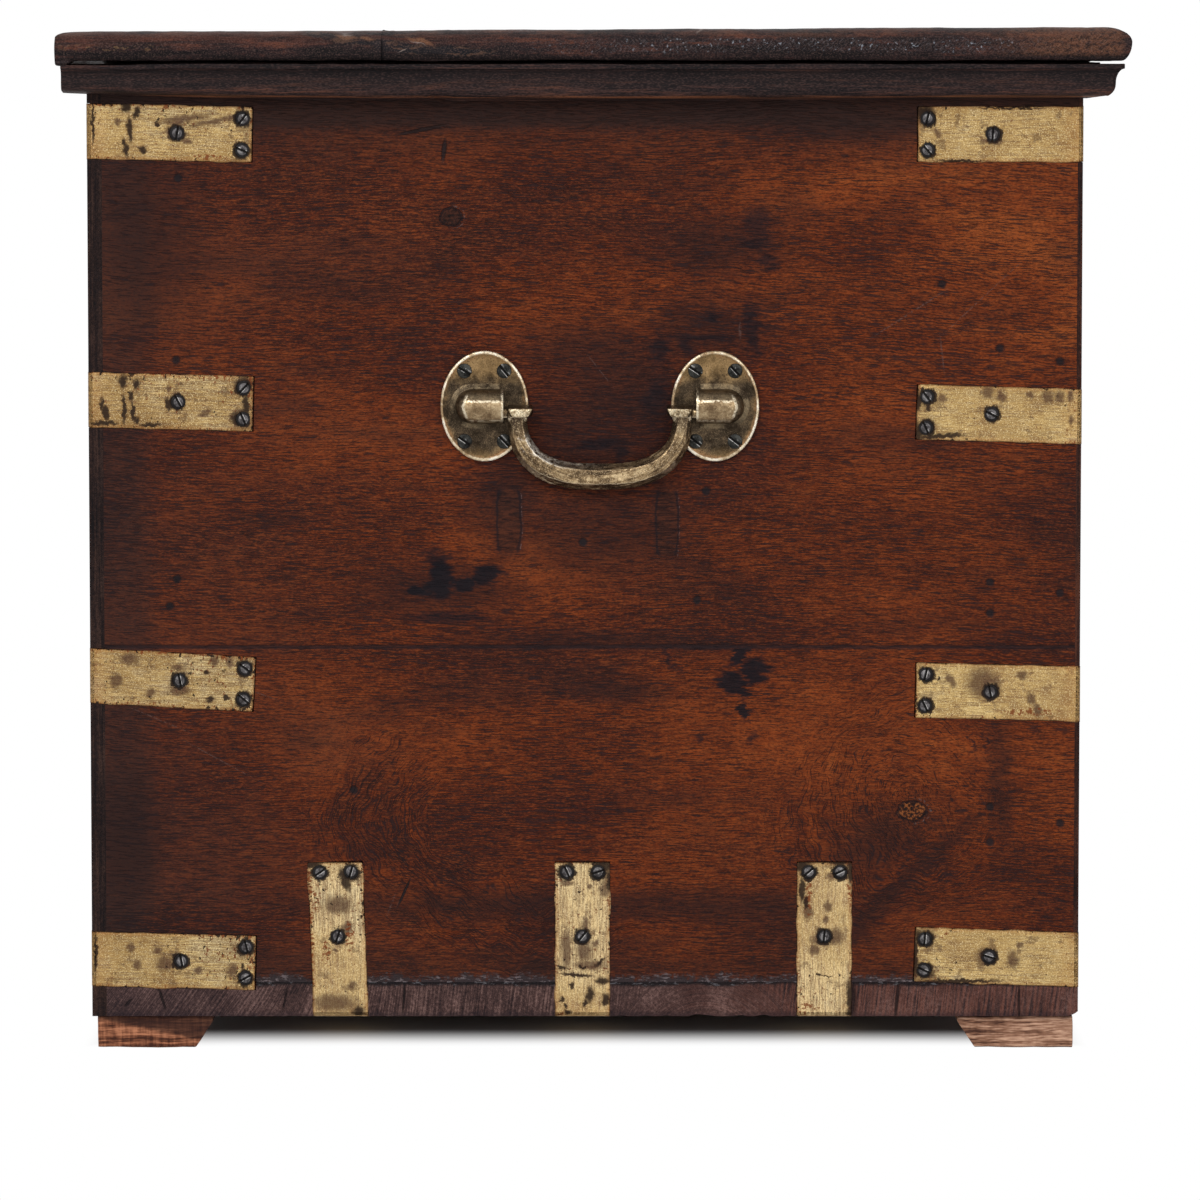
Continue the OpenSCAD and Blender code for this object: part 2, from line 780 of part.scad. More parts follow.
module lock_fittings() {
    plate = lock_plate_w / 2;
    on_lock() lock_block([-lock_w / 2, lock_w / 2], lock_d, -lock_h, past);
    translate([-plate, lock_y - lock_wall, rim_z - lock_plate_h]) cube([2 * plate, lock_wall + past, lock_plate_h + past]);
    keyhole(wall_t);
    lock_screws() screw_hole();
    on_front() translate([0, rim_z - key_drop, strap_proud - keyhole_t])
        linear_extrude(keyhole_t + past) polygon(oval(keyhole_w + 2 * strap_fit, keyhole_h + 2 * strap_fit));
}

module keyhole_plate() {
    color(strap_brass) difference() {
        on_front() translate([0, rim_z - key_drop, strap_proud - keyhole_t])
            linear_extrude(keyhole_t) polygon(oval(keyhole_w, keyhole_h));
        keyhole(wall_t);
    }
}

// Screws of each group, every one a solid of its own
module case_screws() {
    color(steel) {
        for (e = ENDS) at_side(e) {
            for (s = SIDES) for (n = LEVELS) {
                on_end_leg(s, n) leg_screws(strap_l, n) screw();
                on_face_leg(s, n) leg_screws(strap_l, n + 5) screw();
            }
            for (p = PLACES) {
                on_up_leg(p) leg_screws(bottom_strap_l, place(p) + 3) screw();
                on_under_leg(p) leg_screws(strap_l, place(p) + 9) screw();
            }
            hinge_screws(rim_z, 0) screw();
        }
        lock_screws() screw();
    }
}

module handle_screws() {
    color(steel) for (e = ENDS) at_side(e) for (s = SIDES) on_plate(s) plate_screws() screw();
}

module lid_screws() {
    color(steel) {
        for (e = ENDS) at_side(e) hinge_screws(lid_z, 1) screw();
        link_screws() screw();
    }
}

for (e = ENDS) {
    at_side(e) end_board("upper");
    at_side(e) end_board("lower");
    for (s = SIDES) {
        at_side(e) foot(s);
        at_side(e) handle_plate(s);
        for (n = LEVELS) {
            at_side(e) corner_strap(s, n);
        }
    }
    for (p = PLACES) {
        at_side(e) bottom_strap(p);
    }
    at_side(e) hinge_leaf(rim_z - leaf_t, 0, 0);
    at_side(e) hinge_leaf(lid_z, 1, 1);
    at_side(e) hinge_pin();
    at_side(e) bail();
    at_side(e) end_moulding();
}
front_board("upper");  // front_upper_board
front_board("lower");  // front_lower_board
back_board("upper");  // back_upper_board
back_board("lower");  // back_lower_board
bottom_piece(case_front + bottom_strip, case_back - back_lap);  // bottom_board
bottom_piece(case_front, case_front + bottom_strip);  // bottom_front_strip
lid_part(-lid_depth, lid_depth / 2 - lid_board);  // lid_front_board
lid_part(lid_depth / 2 - lid_board, lid_depth);  // lid_back_board
front_moulding();  // moulding_front
lock_case();
lock_bolt();
link_plate();  // lock_link_plate
keyhole_plate();
case_screws();
handle_screws();
lid_screws();
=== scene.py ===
"""A military chest: a teak trunk bound in brass, seen square on from its left end."""
import json
import math
import random

import bpy
from mathutils import Matrix, Vector

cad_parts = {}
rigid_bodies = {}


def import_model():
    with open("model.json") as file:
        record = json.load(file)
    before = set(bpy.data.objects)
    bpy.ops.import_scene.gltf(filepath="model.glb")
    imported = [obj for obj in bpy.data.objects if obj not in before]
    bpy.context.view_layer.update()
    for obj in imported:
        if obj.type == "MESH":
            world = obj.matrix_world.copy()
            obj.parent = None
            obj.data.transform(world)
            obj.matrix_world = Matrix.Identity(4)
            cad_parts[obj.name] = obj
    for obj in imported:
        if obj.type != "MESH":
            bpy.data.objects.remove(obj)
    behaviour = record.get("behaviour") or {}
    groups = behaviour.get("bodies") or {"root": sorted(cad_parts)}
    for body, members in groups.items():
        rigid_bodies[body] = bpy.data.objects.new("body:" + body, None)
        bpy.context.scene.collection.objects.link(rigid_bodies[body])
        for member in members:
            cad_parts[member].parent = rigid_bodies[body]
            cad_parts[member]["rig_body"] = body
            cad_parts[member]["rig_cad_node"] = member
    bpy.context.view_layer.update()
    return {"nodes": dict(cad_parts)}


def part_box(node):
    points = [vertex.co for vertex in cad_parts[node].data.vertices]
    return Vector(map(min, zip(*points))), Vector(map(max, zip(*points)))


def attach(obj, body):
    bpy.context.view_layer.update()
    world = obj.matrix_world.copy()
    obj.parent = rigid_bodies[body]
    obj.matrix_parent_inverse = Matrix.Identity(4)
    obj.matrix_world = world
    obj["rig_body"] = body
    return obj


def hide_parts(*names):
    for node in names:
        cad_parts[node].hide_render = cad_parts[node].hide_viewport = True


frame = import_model()
nodes = frame["nodes"]
bpy.ops.object.select_all(action="DESELECT")


# ---- End boards
# Each end of the case is two wide teak boards, glued edge to edge, with the grain along the depth of the case.
# They are oiled to a dark red-brown. Old nail holes, plugged mortises, ink stains and scratches mark the left end.

class Value:
    """A number or colour that changes over a surface. A sum on values adds its Math nodes to the finish."""

    def __init__(self, finish, socket):
        self.finish, self.socket = finish, socket

    def math(self, operation, *terms):
        """Any Math node on values and numbers."""
        return self.finish.node("Math", {"operation": operation}, dict(enumerate(terms)))

    def __add__(self, other):
        return self.math("ADD", self, other)

    def __sub__(self, other):
        return self.math("SUBTRACT", self, other)

    def __rsub__(self, other):
        return self.math("SUBTRACT", other, self)

    def __mul__(self, other):
        return self.math("MULTIPLY", self, other)

    __radd__, __rmul__ = __add__, __mul__

    def or_else(self, other):
        """The larger of the two."""
        return self.math("MAXIMUM", self, other)

    def toward(self, other, share):
        """Moves on to another value, as far as share says."""
        return self + (other - self) * share

    def size(self):
        """The value without its sign."""
        return self.math("ABSOLUTE", self)

    def step(self, low, high):
        """0 below low and 1 above high, or the other way round where low is the larger."""
        return self.finish.node("MapRange", {"interpolation_type": "SMOOTHSTEP"}, {0: self, 1: low, 2: high})

    def scale(self, low, high, first=0.0, last=1.0):
        """Even from first at low to last at high."""
        return self.finish.node("MapRange", {}, {0: self, 1: low, 2: high, 3: first, 4: last})


class Finish:
    """One material: its shader, and the nodes that colour, roughen and dent it."""

    def __init__(self, name, **fixed):
        self.material = bpy.data.materials.new(name)
        self.material.use_nodes = True
        self.shader = self.material.node_tree.nodes["Principled BSDF"]
        for socket, value in fixed.items():
            self.shader.inputs[socket.replace("_", " ")].default_value = value
        self.at = self.node("TexCoord", out="Object")

    def node(self, kind, settings=None, sockets=None, out=0):
        """Adds any node: its type, its settings, then the values or links of its sockets."""
        tree = self.material.node_tree
        made = tree.nodes.new("ShaderNode" + kind)
        for name, value in (settings or {}).items():
            if name == "stops":
                while len(made.color_ramp.elements) < len(value):
                    made.color_ramp.elements.new(0.5)
                for stop, (place, tone) in zip(made.color_ramp.elements, value):
                    stop.position, stop.color = place, (*tone, 1)
            else:
                setattr(made, name, value)
        for name, value in (sockets or {}).items():
            if isinstance(value, Value):
                tree.links.new(value.socket, made.inputs[name])
            elif made.inputs[name].type == "RGBA":
                made.inputs[name].default_value = (*value, 1)
            else:
                made.inputs[name].default_value = value
        return Value(self, made.outputs[out])

    def axes(self, place):
        """The three numbers of a place."""
        parts = self.node("SeparateXYZ", {}, {0: place})
        return [Value(self, socket) for socket in parts.socket.node.outputs]

    def noise(self, at, cells, detail=2.0, rough=0.5, seed=0.0):
        """Cloudy noise round 0.5, with so many cells to the metre along X, Y and Z."""
        place = self.vector("MULTIPLY_ADD", at, cells, (seed, seed, seed))
        return self.node("TexNoise", {}, {"Vector": place, "Scale": 1.0, "Detail": detail, "Roughness": rough})

    def vector(self, operation, *terms, out=0):
        """Any Vector Math node on places and colours."""
        return self.node("VectorMath", {"operation": operation}, dict(enumerate(terms)), out)

    def length(self, place):
        return self.vector("LENGTH", place, out=1)

    def join(self, **numbers):
        """A place from its numbers X, Y and Z."""
        return self.node("CombineXYZ", {}, numbers)

    def kept(self, name, out="Vector"):
        """What a piece keeps for each of its points under a name."""
        return self.node("Attribute", {"attribute_name": name}, {}, out)

    def blend(self, share, first, second, kind="MIX"):
        """Mixes two tones: the first where share is 0, the second where it is 1."""
        return self.node("Mix", {"data_type": "RGBA", "blend_type": kind}, {0: share, 6: first, 7: second}, 2)

    def paint(self, share, tone, kind="MIX"):
        """Lays a tone over the colour so far, as thickly as share says."""
        self.colour = self.blend(share, self.colour, tone, kind)

    def ramp(self, value, *stops):
        """Turns a value into a tone by stops, each a value and its tone."""
        return self.node("ValToRGB", {"stops": stops}, {0: value})

    def within(self, at, place, half, turn=0.0):
        """Ways from a place along turned axes, counted in half sizes."""
        return self.node("Mapping", {"vector_type": "TEXTURE"},
                         {"Vector": at, "Location": place, "Rotation": (turn, 0, 0), "Scale": half})

    def oval(self, at, place, half, turn=0.0):
        """Distance from a place, where 1 is the rim of an oval of that half size."""
        return self.length(self.within(at, place, half, turn))

    def set(self, rough, height=None, depth=0.0003, metal=None):
        """Links the painted colour, the roughness and the surface height to the shader."""
        tree = self.material.node_tree
        tree.links.new(self.colour.socket, self.shader.inputs["Base Color"])
        tree.links.new(rough.socket, self.shader.inputs["Roughness"])
        if metal is not None:
            tree.links.new(metal.socket, self.shader.inputs["Metallic"])
        if height is not None:
            bump = self.node("Bump", {}, {"Strength": 1.0, "Distance": depth, "Height": height})
            tree.links.new(bump.socket, self.shader.inputs["Normal"])

    def cover(self, *names):
        """Gives the finish to CAD nodes."""
        for name in names:
            for slot in nodes[name].material_slots:
                slot.material = self.material


# The case: its ends at X, its middle and half its depth along Y, and its foot along Z
end_x, case_y, half_depth, case_low = 0.457, 0.004, 0.2285, 0.0152
# The camera: metres from the left end, place, tilt in radians and focal length in pixels of the square view
eye_far, eye_y, eye_z, eye_tilt, eye_focus, view_size = 3.0, -0.0029, 0.455, 0.08186, 6524, 1200
pixel = 0.0004618  # metres to a pixel of the view, in the plane of the left end
joint_down = 640  # where the joint between the end's boards shows, in pixels down the view
endless = 9  # the half size of an oval along X, so that it goes right through the board
bare_wood = {"IOR": 1.45, "Specular_IOR_Level": 0.08}


def seen(across, down):
    """Y and Z where the line of sight of a spot in the square view meets the left end."""
    right, up = (across - view_size / 2) / eye_focus, (view_size / 2 - down) / eye_focus
    far = eye_far / (math.cos(eye_tilt) + up * math.sin(eye_tilt))
    return eye_y - right * far, eye_z + far * (up * math.cos(eye_tilt) - math.sin(eye_tilt))


def grain(run, along, across):
    """Noise cells to the metre for wood whose grain runs along axis run."""
    cells = [across] * 3
    cells[run] = along
    return cells


def teak(finish, at, run, seed=0.0):
    """Tone, pores and fleck of teak whose grain runs along axis run: cloudy values round 0.5."""
    cloud = finish.noise(at, grain(run, 5, 11), 3, 0.5, seed)
    band = finish.noise(at, grain(run, 8, 90), 3, 0.6, seed + 3)
    streak = finish.noise(at, grain(run, 34, 600), 3, 0.6, seed + 5)
    dash = finish.noise(at, grain(run, 90, 1600), 2, 0.6, seed + 7)
    thread = finish.noise(at, grain(run, 160, 2300), 1, 0.5, seed + 9)
    fleck = finish.noise(at, (700, 700, 700), 2, 0.6, seed + 2)
    tone = cloud * 0.44 + band * 0.22 + streak * 0.18 + fleck * 0.16
    pores = dash * 0.6 + thread * 0.4 + (band - 0.5) * 0.18
    return tone, pores, fleck


teak_tones = ((0.0, (0.022, 0.0075, 0.0065)), (0.32, (0.062, 0.0125, 0.0060)), (0.58, (0.108, 0.0195, 0.0050)),
              (0.82, (0.165, 0.032, 0.0070)), (1.0, (0.235, 0.055, 0.0120)))
pore_black = (0.0150, 0.0095, 0.0110)
ink_black = (0.0075, 0.0065, 0.009)

nail_holes = ((178, 178), (176, 360), (177, 579), (170, 606), (697, 600), (706, 491), (942, 284), (1000, 348),
              (583, 542), (1060, 361), (990, 582), (1060, 593), (990, 613), (990, 807), (1060, 823), (990, 842),
              (354, 790))
stains = ((440, 580, 14, 21), (463, 585, 11, 7), (487, 576, 18, 9, -0.25), (420, 591, 11, 5, 0.2),
          (754, 671, 14, 13, 0.2), (729, 682, 13, 11), (742, 689, 8, 10), (738, 657, 5, 12, 0.7), (746, 712, 6, 9))
faint_stains = ((751, 738, 6, 6), (701, 738, 5, 5), (712, 647, 30, 4), (670, 657, 3, 18, -0.25), (758, 221, 13, 15),
                (759, 242, 19, 8), (768, 262, 9, 9), (752, 330, 8, 30), (709, 319, 8, 6), (686, 347, 7, 9),
                (972, 743, 2, 12), (985, 743, 2, 11), (600, 445, 26, 6), (620, 452, 6, 8), (655, 395, 12, 20, 0.3),
                (560, 470, 14, 5), (660, 350, 10, 16), (700, 338, 30, 4), (436, 560, 10, 14), (450, 618, 40, 5))
# Dark patches: smudges of grime, and between and under the handle plates also painted shade from the handle.
smudges_and_handle_shade = ((610, 380, 60, 55), (600, 530, 95, 45), (705, 330, 60, 28), (600, 430, 80, 50), (590, 350, 70, 26),
           (700, 325, 55, 12), (720, 245, 60, 26), (150, 240, 50, 90), (600, 905, 300, 16), (600, 640, 110, 9),
           (620, 690, 50, 12), (445, 590, 75, 28), (510, 500, 40, 50), (880, 905, 70, 9, -0.75),
           (900, 880, 60, 7, -0.75), (860, 925, 60, 7, -0.75), (940, 850, 50, 8, -0.75), (850, 130, 90, 10),
           (1000, 780, 12, 60), (130, 840, 30, 60), (880, 840, 60, 30, -0.5))
scratches = ((910, 313, 41, 0.9, -0.57), (942, 353, 18, 0.9, 1.45), (404, 892, 14, 1.0, -1.1),
             (391, 905, 11, 0.8, -1.2), (598, 368, 22, 0.6, 0.9), (980, 300, 55, 0.6, -0.75),
             (160, 720, 30, 0.7, 0.4), (250, 690, 24, 0.7, 0.35), (220, 760, 40, 0.7, 0.5), (740, 330, 1.4, 8))
cracks = ((421, 130, 26, 1.8, -0.2), (444, 150, 2.2, 11, 0.12), (404, 893, 14, 1.2, -1.15))
plugs = ((509, 521, 12, 32), (667, 523, 11, 33))


def marks(finish, at, spots, soft):
    """1 inside any of several ovals on the left end, each given by its middle, half sizes and turn in the view."""
    nearest = finish.node("Math", {"operation": "ADD"}, {0: endless, 1: 0})
    for across, down, wide, high, *turn in spots:
        rim = finish.oval(at, (0, *seen(across, down)), (endless, wide * pixel, high * pixel), *turn)
        nearest = rim.math("MINIMUM", rim, nearest)
    return nearest.step(1 + soft, 1 - soft)


def shaken(finish, at, cells, reach, detail=4):
    """Places moved up to reach by noise, so that what is drawn with them has ragged outlines."""
    moved = finish.node("TexNoise", {}, {"Vector": at, "Scale": cells, "Detail": detail, "Roughness": 0.62}, 1)
    return finish.vector("MULTIPLY_ADD", moved, (0, 2 * reach, 2 * reach),
                         finish.vector("ADD", at, (0, -reach, -reach)))


def swirl(finish, at, across, down, wide, high):
    """Metres out from and round the heart of a swirl in the grain, and half sizes out, across and up from it."""
    near = finish.within(at, (0, *seen(across, down)), (endless, wide * pixel, high * pixel))
    _, side, rise = finish.axes(near)
    out = finish.length(near)
    size = (wide + high) / 2 * pixel
    return finish.join(X=out * size, Y=rise.math("ARCTAN2", rise, side) * size), out, side, rise


def end_board(name, lower, marked):
    """Teak for one board of an end; marked, also with the marks that show on the left end."""
    finish = Finish(name, **bare_wood)

    def on_board(spots):
        return [spot for spot in spots if (spot[1] > joint_down) == lower]

    at = finish.at
    x, y, z = finish.axes(at)
    wave = (finish.noise(at, (2, 3, 3), 1, 0.5, 11) - 0.5) * 0.035 - y * 0.03
    rise = z + wave + (finish.noise(at, (20, 14, 40), 2, 0.5, 4) - 0.5) * 0.004
    flow = finish.join(X=x, Y=y, Z=rise)
    tone, pores, fleck = teak(finish, flow, 1, 1.0 if lower else 0.0)
    if lower:
        bent = shaken(finish, at, 17, 0.0225, 3)
        for number, place in enumerate(((545, 818, 165, 108), (915, 812, 92, 84))):
            way, out, side, up = swirl(finish, bent, *place)
            if number:
                share = out.step(2.0, 1.1) * side.step(-1.4, 0.3)
            else:
                share = out.step(1.7, 1.15) * out.step(0.5, 0.8) * (side * 0.9 - up * 0.7).step(-0.1, 0.4)
            ring = finish.noise(way, (1150, 90, 1), 2, 0.6, 3) * 0.6
            ring = ring + finish.noise(way, (2000, 220, 1), 1, 0.5, 5) * 0.4
            pores = pores.toward(ring, share)
            tone = tone.toward(finish.noise(way, (150, 30, 1), 4, 0.65, 8), share * 0.6)
    mottle = finish.noise(at, (70, 80, 60), 3, 0.6, 2)
    glow = finish.noise(at, (14, 9, 22), 3, 0.55, 31)
    tone = tone + (mottle - 0.5) * 0.10 + (glow - 0.5) * 0.26
    warm = y.step(0.10, -0.20) * (z.step(0.27, 0.35) * 0.105 + 0.022) + y.step(0.06, 0.14) * 0.016 - 0.014
    warm = warm - z.step(0.20, 0.03) * y.step(0.02, 0.2) * 0.055
    warm = warm + y.step(-0.10, -0.17) * z.step(0.20, 0.13) * 0.035
    finish.colour = finish.ramp((tone + warm).scale(0.36, 0.66), *teak_tones)
    fibre = finish.noise(flow, (60, 240, 2600), 1, 0.5, 41)
    finish.paint(fibre.step(0.505, 0.595) * 0.6, (0.030, 0.011, 0.007))
    ember = (finish.noise(flow, (30, 125, 1950), 2, 0.6, 43) + (glow - 0.5) * 0.4).step(0.54, 0.62)
    finish.paint(ember * 0.38, (0.27, 0.062, 0.014))
    speck = finish.noise(flow, (1500, 750, 2500), 1, 0.5, 53)
    finish.paint(speck.step(0.52, 0.64) * 0.55, (0.026, 0.010, 0.007))
    finish.paint(speck.step(0.46, 0.36) * 0.30, (0.25, 0.060, 0.015))
    gloom = finish.noise(flow, (12, 12, 42), 3, 0.6, 47)
    finish.paint(gloom.step(0.52, 0.68) * 0.38, (0.020, 0.009, 0.008))
    # Dulls the wood towards the back edge, more so lower down.
    greyed_back = (y + (glow - 0.5) * 0.3).step(0.08, 0.24)
    finish.paint(greyed_back * (z.step(0.21, 0.10) * 0.3 + 0.3), (0.036, 0.016, 0.013))
    back_edge = (y + (glow - 0.5) * 0.016 + (mottle - 0.5) * 0.012).step(0.198, 0.212)
    finish.paint(back_edge * 0.55, (0.022, 0.013, 0.012))
    dark = (pores - (glow - 0.5) * 0.20).step(0.515, 0.60)
    height = fleck * 0.4 - dark
    if marked:
        along_grain = finish.vector("MULTIPLY", at, (1, 60, 260))
        moved = finish.node("TexNoise", {}, {"Vector": along_grain, "Scale": 1, "Detail": 4, "Roughness": 0.6}, 1)
        ragged = finish.vector("MULTIPLY_ADD", moved, (0, 0.022, 0.008),
                               finish.vector("ADD", at, (0, -0.011, -0.004)))
        # Dark patches of smudges, with painted shade from the handle between and under its plates.
        smudge_and_handle_shade = marks(finish, ragged, smudges_and_handle_shade, 0.75)
        finish.paint(smudge_and_handle_shade * 0.66, (0.020, 0.009, 0.008))
        worn = finish.noise(ragged, (1, 150, 520), 4, 0.7, 44)
        for across, down, wide, high in () if lower else plugs:
            _, side, up = finish.axes(finish.within(shaken(finish, at, 160, 0.0012), (0, *seen(across, down)),
                                                    (endless, wide * 0.00046, high * 0.00046)))
            inside = side.size().or_else(up.size()) * 0.8 + (side * side + up * up) * 0.2
            finish.paint(inside.step(1.7, 0.95) * 0.45, (0.022, 0.010, 0.009))
            finish.paint(inside.step(1.02, 0.93) * 0.55,
                         finish.ramp(worn, (0.42, (0.009, 0.006, 0.006)), (0.60, (0.080, 0.024, 0.012))))
            rim = (inside - 1).size().step(0.16, 0.04) * side.size().step(0.5, 0.8)
            finish.paint(rim * 0.7, ink_black)
            lit = (inside - 1.16).size().step(0.06, 0.02) * (side * -1).step(0.9, 1.0) * fleck.step(0.5, 0.6)
            finish.paint(lit * 0.5, (0.14, 0.10, 0.10))
    finish.paint(dark * 0.78, pore_black)
    if marked:
        stain = marks(finish, ragged, on_board(stains), 0.3)
        finish.paint(stain * 0.94, ink_black)
        faint = marks(finish, ragged, on_board(faint_stains), 0.55)
        finish.paint(faint * 0.72, ink_black)
        scratch = marks(finish, at, on_board(scratches), 0.5) * fleck.step(0.4, 0.55)
        finish.paint(scratch * 0.45, (0.13, 0.075, 0.065))
        hole = marks(finish, at, [(*hole, 4.2, 4.2) for hole in on_board(nail_holes)], 0.35)
        hole = hole.or_else(marks(finish, at, on_board(cracks), 0.3))
        finish.paint(hole * 0.9, (0.010, 0.009, 0.011))
        knot_y, knot_z = seen(*((912, 811) if lower else (451, 217)))
        loose = shaken(finish, at, 300, 0.0016)
        knot_half = (endless, 0.0066, 0.0046) if lower else (endless, 0.0050, 0.0040)
        far = finish.oval(loose, (0, knot_y, knot_z), knot_half)
        knot = far.step(1.1, 0.9)
        flecks = finish.noise(at, (750, 750, 750), 2, 0.6, 33)
        if lower:
            inner = ((0.42, (0.010, 0.008, 0.008)), (0.5, (0.055, 0.017, 0.008)), (0.62, (0.26, 0.085, 0.025)))
        else:
            inner = ((0.42, (0.010, 0.007, 0.007)), (0.6, (0.040, 0.015, 0.010)))
        finish.paint(knot * 0.85, finish.ramp(flecks, *inner))
        ring = (far - 1).size().step(0.16, 0.04)
        finish.paint(ring * 0.7, ink_black)
        shine = (far - 1.25).size().step(0.12, 0.02) * flecks.step(0.50, 0.60) * y.step(knot_y, knot_y - 0.003)
        finish.paint(shine * 0.5, (0.12, 0.10, 0.10))
        height = height - hole * 3 - scratch - ring * 2
    shade = (z + (glow - 0.5) * 0.010).step(0.4175, 0.4295) * 0.90
    shade = shade.or_else((z + (glow - 0.5) * 0.03).step(0.400, 0.426) * 0.5)
    shade = shade.or_else((z + (glow - 0.5) * 0.02).step(0.058, 0.036) * 0.45)
    finish.paint(shade, (0.018, 0.010, 0.009))
    if lower:
        seam = (z + (mottle - 0.5) * 0.014 + (fleck - 0.5) * 0.006).step(0.0355, 0.0318)
        finish.paint(seam * 0.94, (0.032, 0.0245, 0.0265))
        grit = finish.noise(at, (900, 260, 1000), 3, 0.65, 17).step(0.50, 0.62) * seam
        finish.paint(grit * 0.8, (0.170, 0.135, 0.140))
        height = height + grit * 2 - seam
    joint_z = 0.1872 + (finish.noise(at, (5, 9, 5), 2) - 0.5) * 0.0016
    joint = (z - joint_z).size().step(0.0014, 0.0004)
    finish.paint(joint * 0.8, pore_black)
    finish.set(0.40 + fleck * 0.25 + dark * 0.15, height - joint * 2, 0.00022)
    return finish


end_board("left_end_upper_teak", False, True).cover("left_end_upper_board")
end_board("left_end_lower_teak", True, True).cover("left_end_lower_board")
end_board("right_end_upper_teak", False, False).cover("right_end_upper_board")
end_board("right_end_lower_teak", True, False).cover("right_end_lower_board")


# ---- Front, back and bottom boards
# The long boards of the case are teak with the grain along the length. The front and back lap over the ends, and
# the bottom is nailed on below in a wide board and a narrow front strip, whose end grain shows under the ends.

def long_board(name, seed, dark, middle, light, under=False):
    """Teak with the grain along X, its sawn ends in three tones; under, also the bottom boards' dirt and cracks."""
    finish = Finish(name, **bare_wood)
    at = finish.at
    tone, pores, fleck = teak(finish, at, 0, seed)
    rays = finish.noise(at, (30, 40, 60), 2, 0.5, seed)
    finish.colour = finish.ramp((tone + (rays - 0.5) * 0.2).scale(0.36, 0.66), *teak_tones)
    pores = pores.step(0.465, 0.60)
    finish.paint(pores * 0.8, pore_black)
    x, y, z = finish.axes(at)
    end = x.size().step(0.4553, 0.4563)
    slant = finish.join(Y=y + z * (y.step(0.08, 0.16) * 0.6 + 0.12), Z=z) if under else at
    cut = finish.noise(slant, (1, 900, 40 if under else 22), 3, 0.65, seed)
    if under:
        heart = finish.oval(at, (0, *seen(705, 1048)), (endless, 0.03, 0.026))
        hearts = finish.noise(finish.join(X=heart), (15, 1, 1), 3, 0.65, seed)
        cut = cut.toward(hearts, heart.step(1.7, 1.2))
    dust = finish.noise(at, (5, 60, 40), 3, 0.6, 8)
    cut_colour = finish.ramp((cut * 0.45 + dust * 0.30 + fleck * 0.25).scale(0.40, 0.60), (0, dark), (0.5, middle),
                             (1, light))
    if under:
        red = (y + (dust - 0.5) * 0.06).step(0.0, -0.12)
        cut_colour = finish.blend(red * cut.scale(0.40, 0.58, 0.0, 0.62), cut_colour, (0.150, 0.050, 0.032))
        dusk = (y + (dust - 0.5) * 0.1).step(0.12, 0.20)
        cut_colour = finish.blend(dusk * 0.3, cut_colour, (0.030, 0.021, 0.026))
        edge = (z + (dust - 0.5) * 0.004).step(0.0185, 0.0158)
        seam = (z + (dust - 0.5) * 0.005).step(0.0286, 0.0304)
        grit = finish.noise(at, (900, 260, 1000), 3, 0.6, 17).step(0.56, 0.66) * seam
        cut_colour = finish.blend(edge * 0.5, cut_colour, (0.022, 0.015, 0.020))
        cut_colour = finish.blend(seam * 0.92, cut_colour, (0.0085, 0.0085, 0.0100))
        cut_colour = finish.blend(grit * 0.75, cut_colour, (0.130, 0.125, 0.135))
        rift = marks(finish, at, ((897, 1000, 1.6, 18, 0.1), (1019, 1003, 1.2, 18), (162, 998, 1.2, 12, -0.3),
                                  (285, 1000, 1, 10, 0.2), (404, 998, 1, 14, 0.1), (128, 1003, 1.2, 5, 0.8),
                                  (852, 1000, 4, 16)), 0.4)
        cut_colour = finish.blend(rift * 0.8, cut_colour, (0.010, 0.008, 0.009))
        cut = cut - rift * 2
    finish.paint(end, cut_colour)
    finish.set(0.45 + fleck * 0.25 + end * 0.15, fleck * 0.5 - pores + end * cut * 2, 0.00025)
    return finish


front_teak = long_board("front_teak", 20, (0.012, 0.008, 0.008), (0.034, 0.015, 0.012), (0.085, 0.030, 0.018))
front_teak.cover("front_upper_board", "front_lower_board")
back_teak = long_board("back_teak", 24, (0.009, 0.007, 0.008), (0.022, 0.013, 0.012), (0.052, 0.028, 0.022))
back_teak.cover("back_upper_board", "back_lower_board")
bottom_teak = long_board("bottom_teak", 28, (0.024, 0.0155, 0.0165), (0.078, 0.043, 0.039), (0.210, 0.123, 0.108),
                         True)


# ---- Feet
# Four low blocks of a paler wood, sawn from one batten with a slanted inner end and nailed up under the bottom.
# Their edges are rubbed round, the saw marks still show, and the wood is darker at the top, under the case.

def only(piece):
    """Makes a piece the one that is selected."""
    bpy.ops.object.select_all(action="DESELECT")
    piece.select_set(True)
    bpy.context.view_layer.objects.active = piece


def edit(selected=True):
    """Opens the active piece for editing."""
    bpy.ops.object.mode_set(mode="EDIT")
    if selected:
        bpy.ops.mesh.select_all(action="SELECT")


def edited():
    """Ends the editing."""
    bpy.ops.object.mode_set(mode="OBJECT")


def duplicate(piece, name):
    """A copy of a piece with a mesh of its own."""
    new = piece.copy()
    new.data = piece.data.copy()
    new.name = new.data.name = name
    bpy.context.scene.collection.objects.link(new)
    return new


def worked(piece, kind, **settings):
    """Shapes a piece with a modifier, which is applied."""
    only(piece)
    modifier = piece.modifiers.new("work", kind)
    for name, value in settings.items():
        setattr(modifier, name, value)
    bpy.ops.object.modifier_apply(modifier=modifier.name)


def blank(name, node):
    """A copy of a CAD node with its triangles welded and its flat faces made whole, ready to work on."""
    piece = duplicate(nodes[node], name)
    piece.parent = None
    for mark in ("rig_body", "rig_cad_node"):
        del piece[mark]
    only(piece)
    bpy.ops.mesh.customdata_custom_splitnormals_clear()
    edit()
    bpy.ops.mesh.remove_doubles(threshold=0.00001)
    bpy.ops.mesh.dissolve_limited(angle_limit=0.01)
    edited()
    return piece


def softened(piece, width, segments=2, angle=0.9):
    """Rounds the edges that are sharper than an angle."""
    worked(piece, "BEVEL", width=width, segments=segments, limit_method="ANGLE", angle_limit=angle)


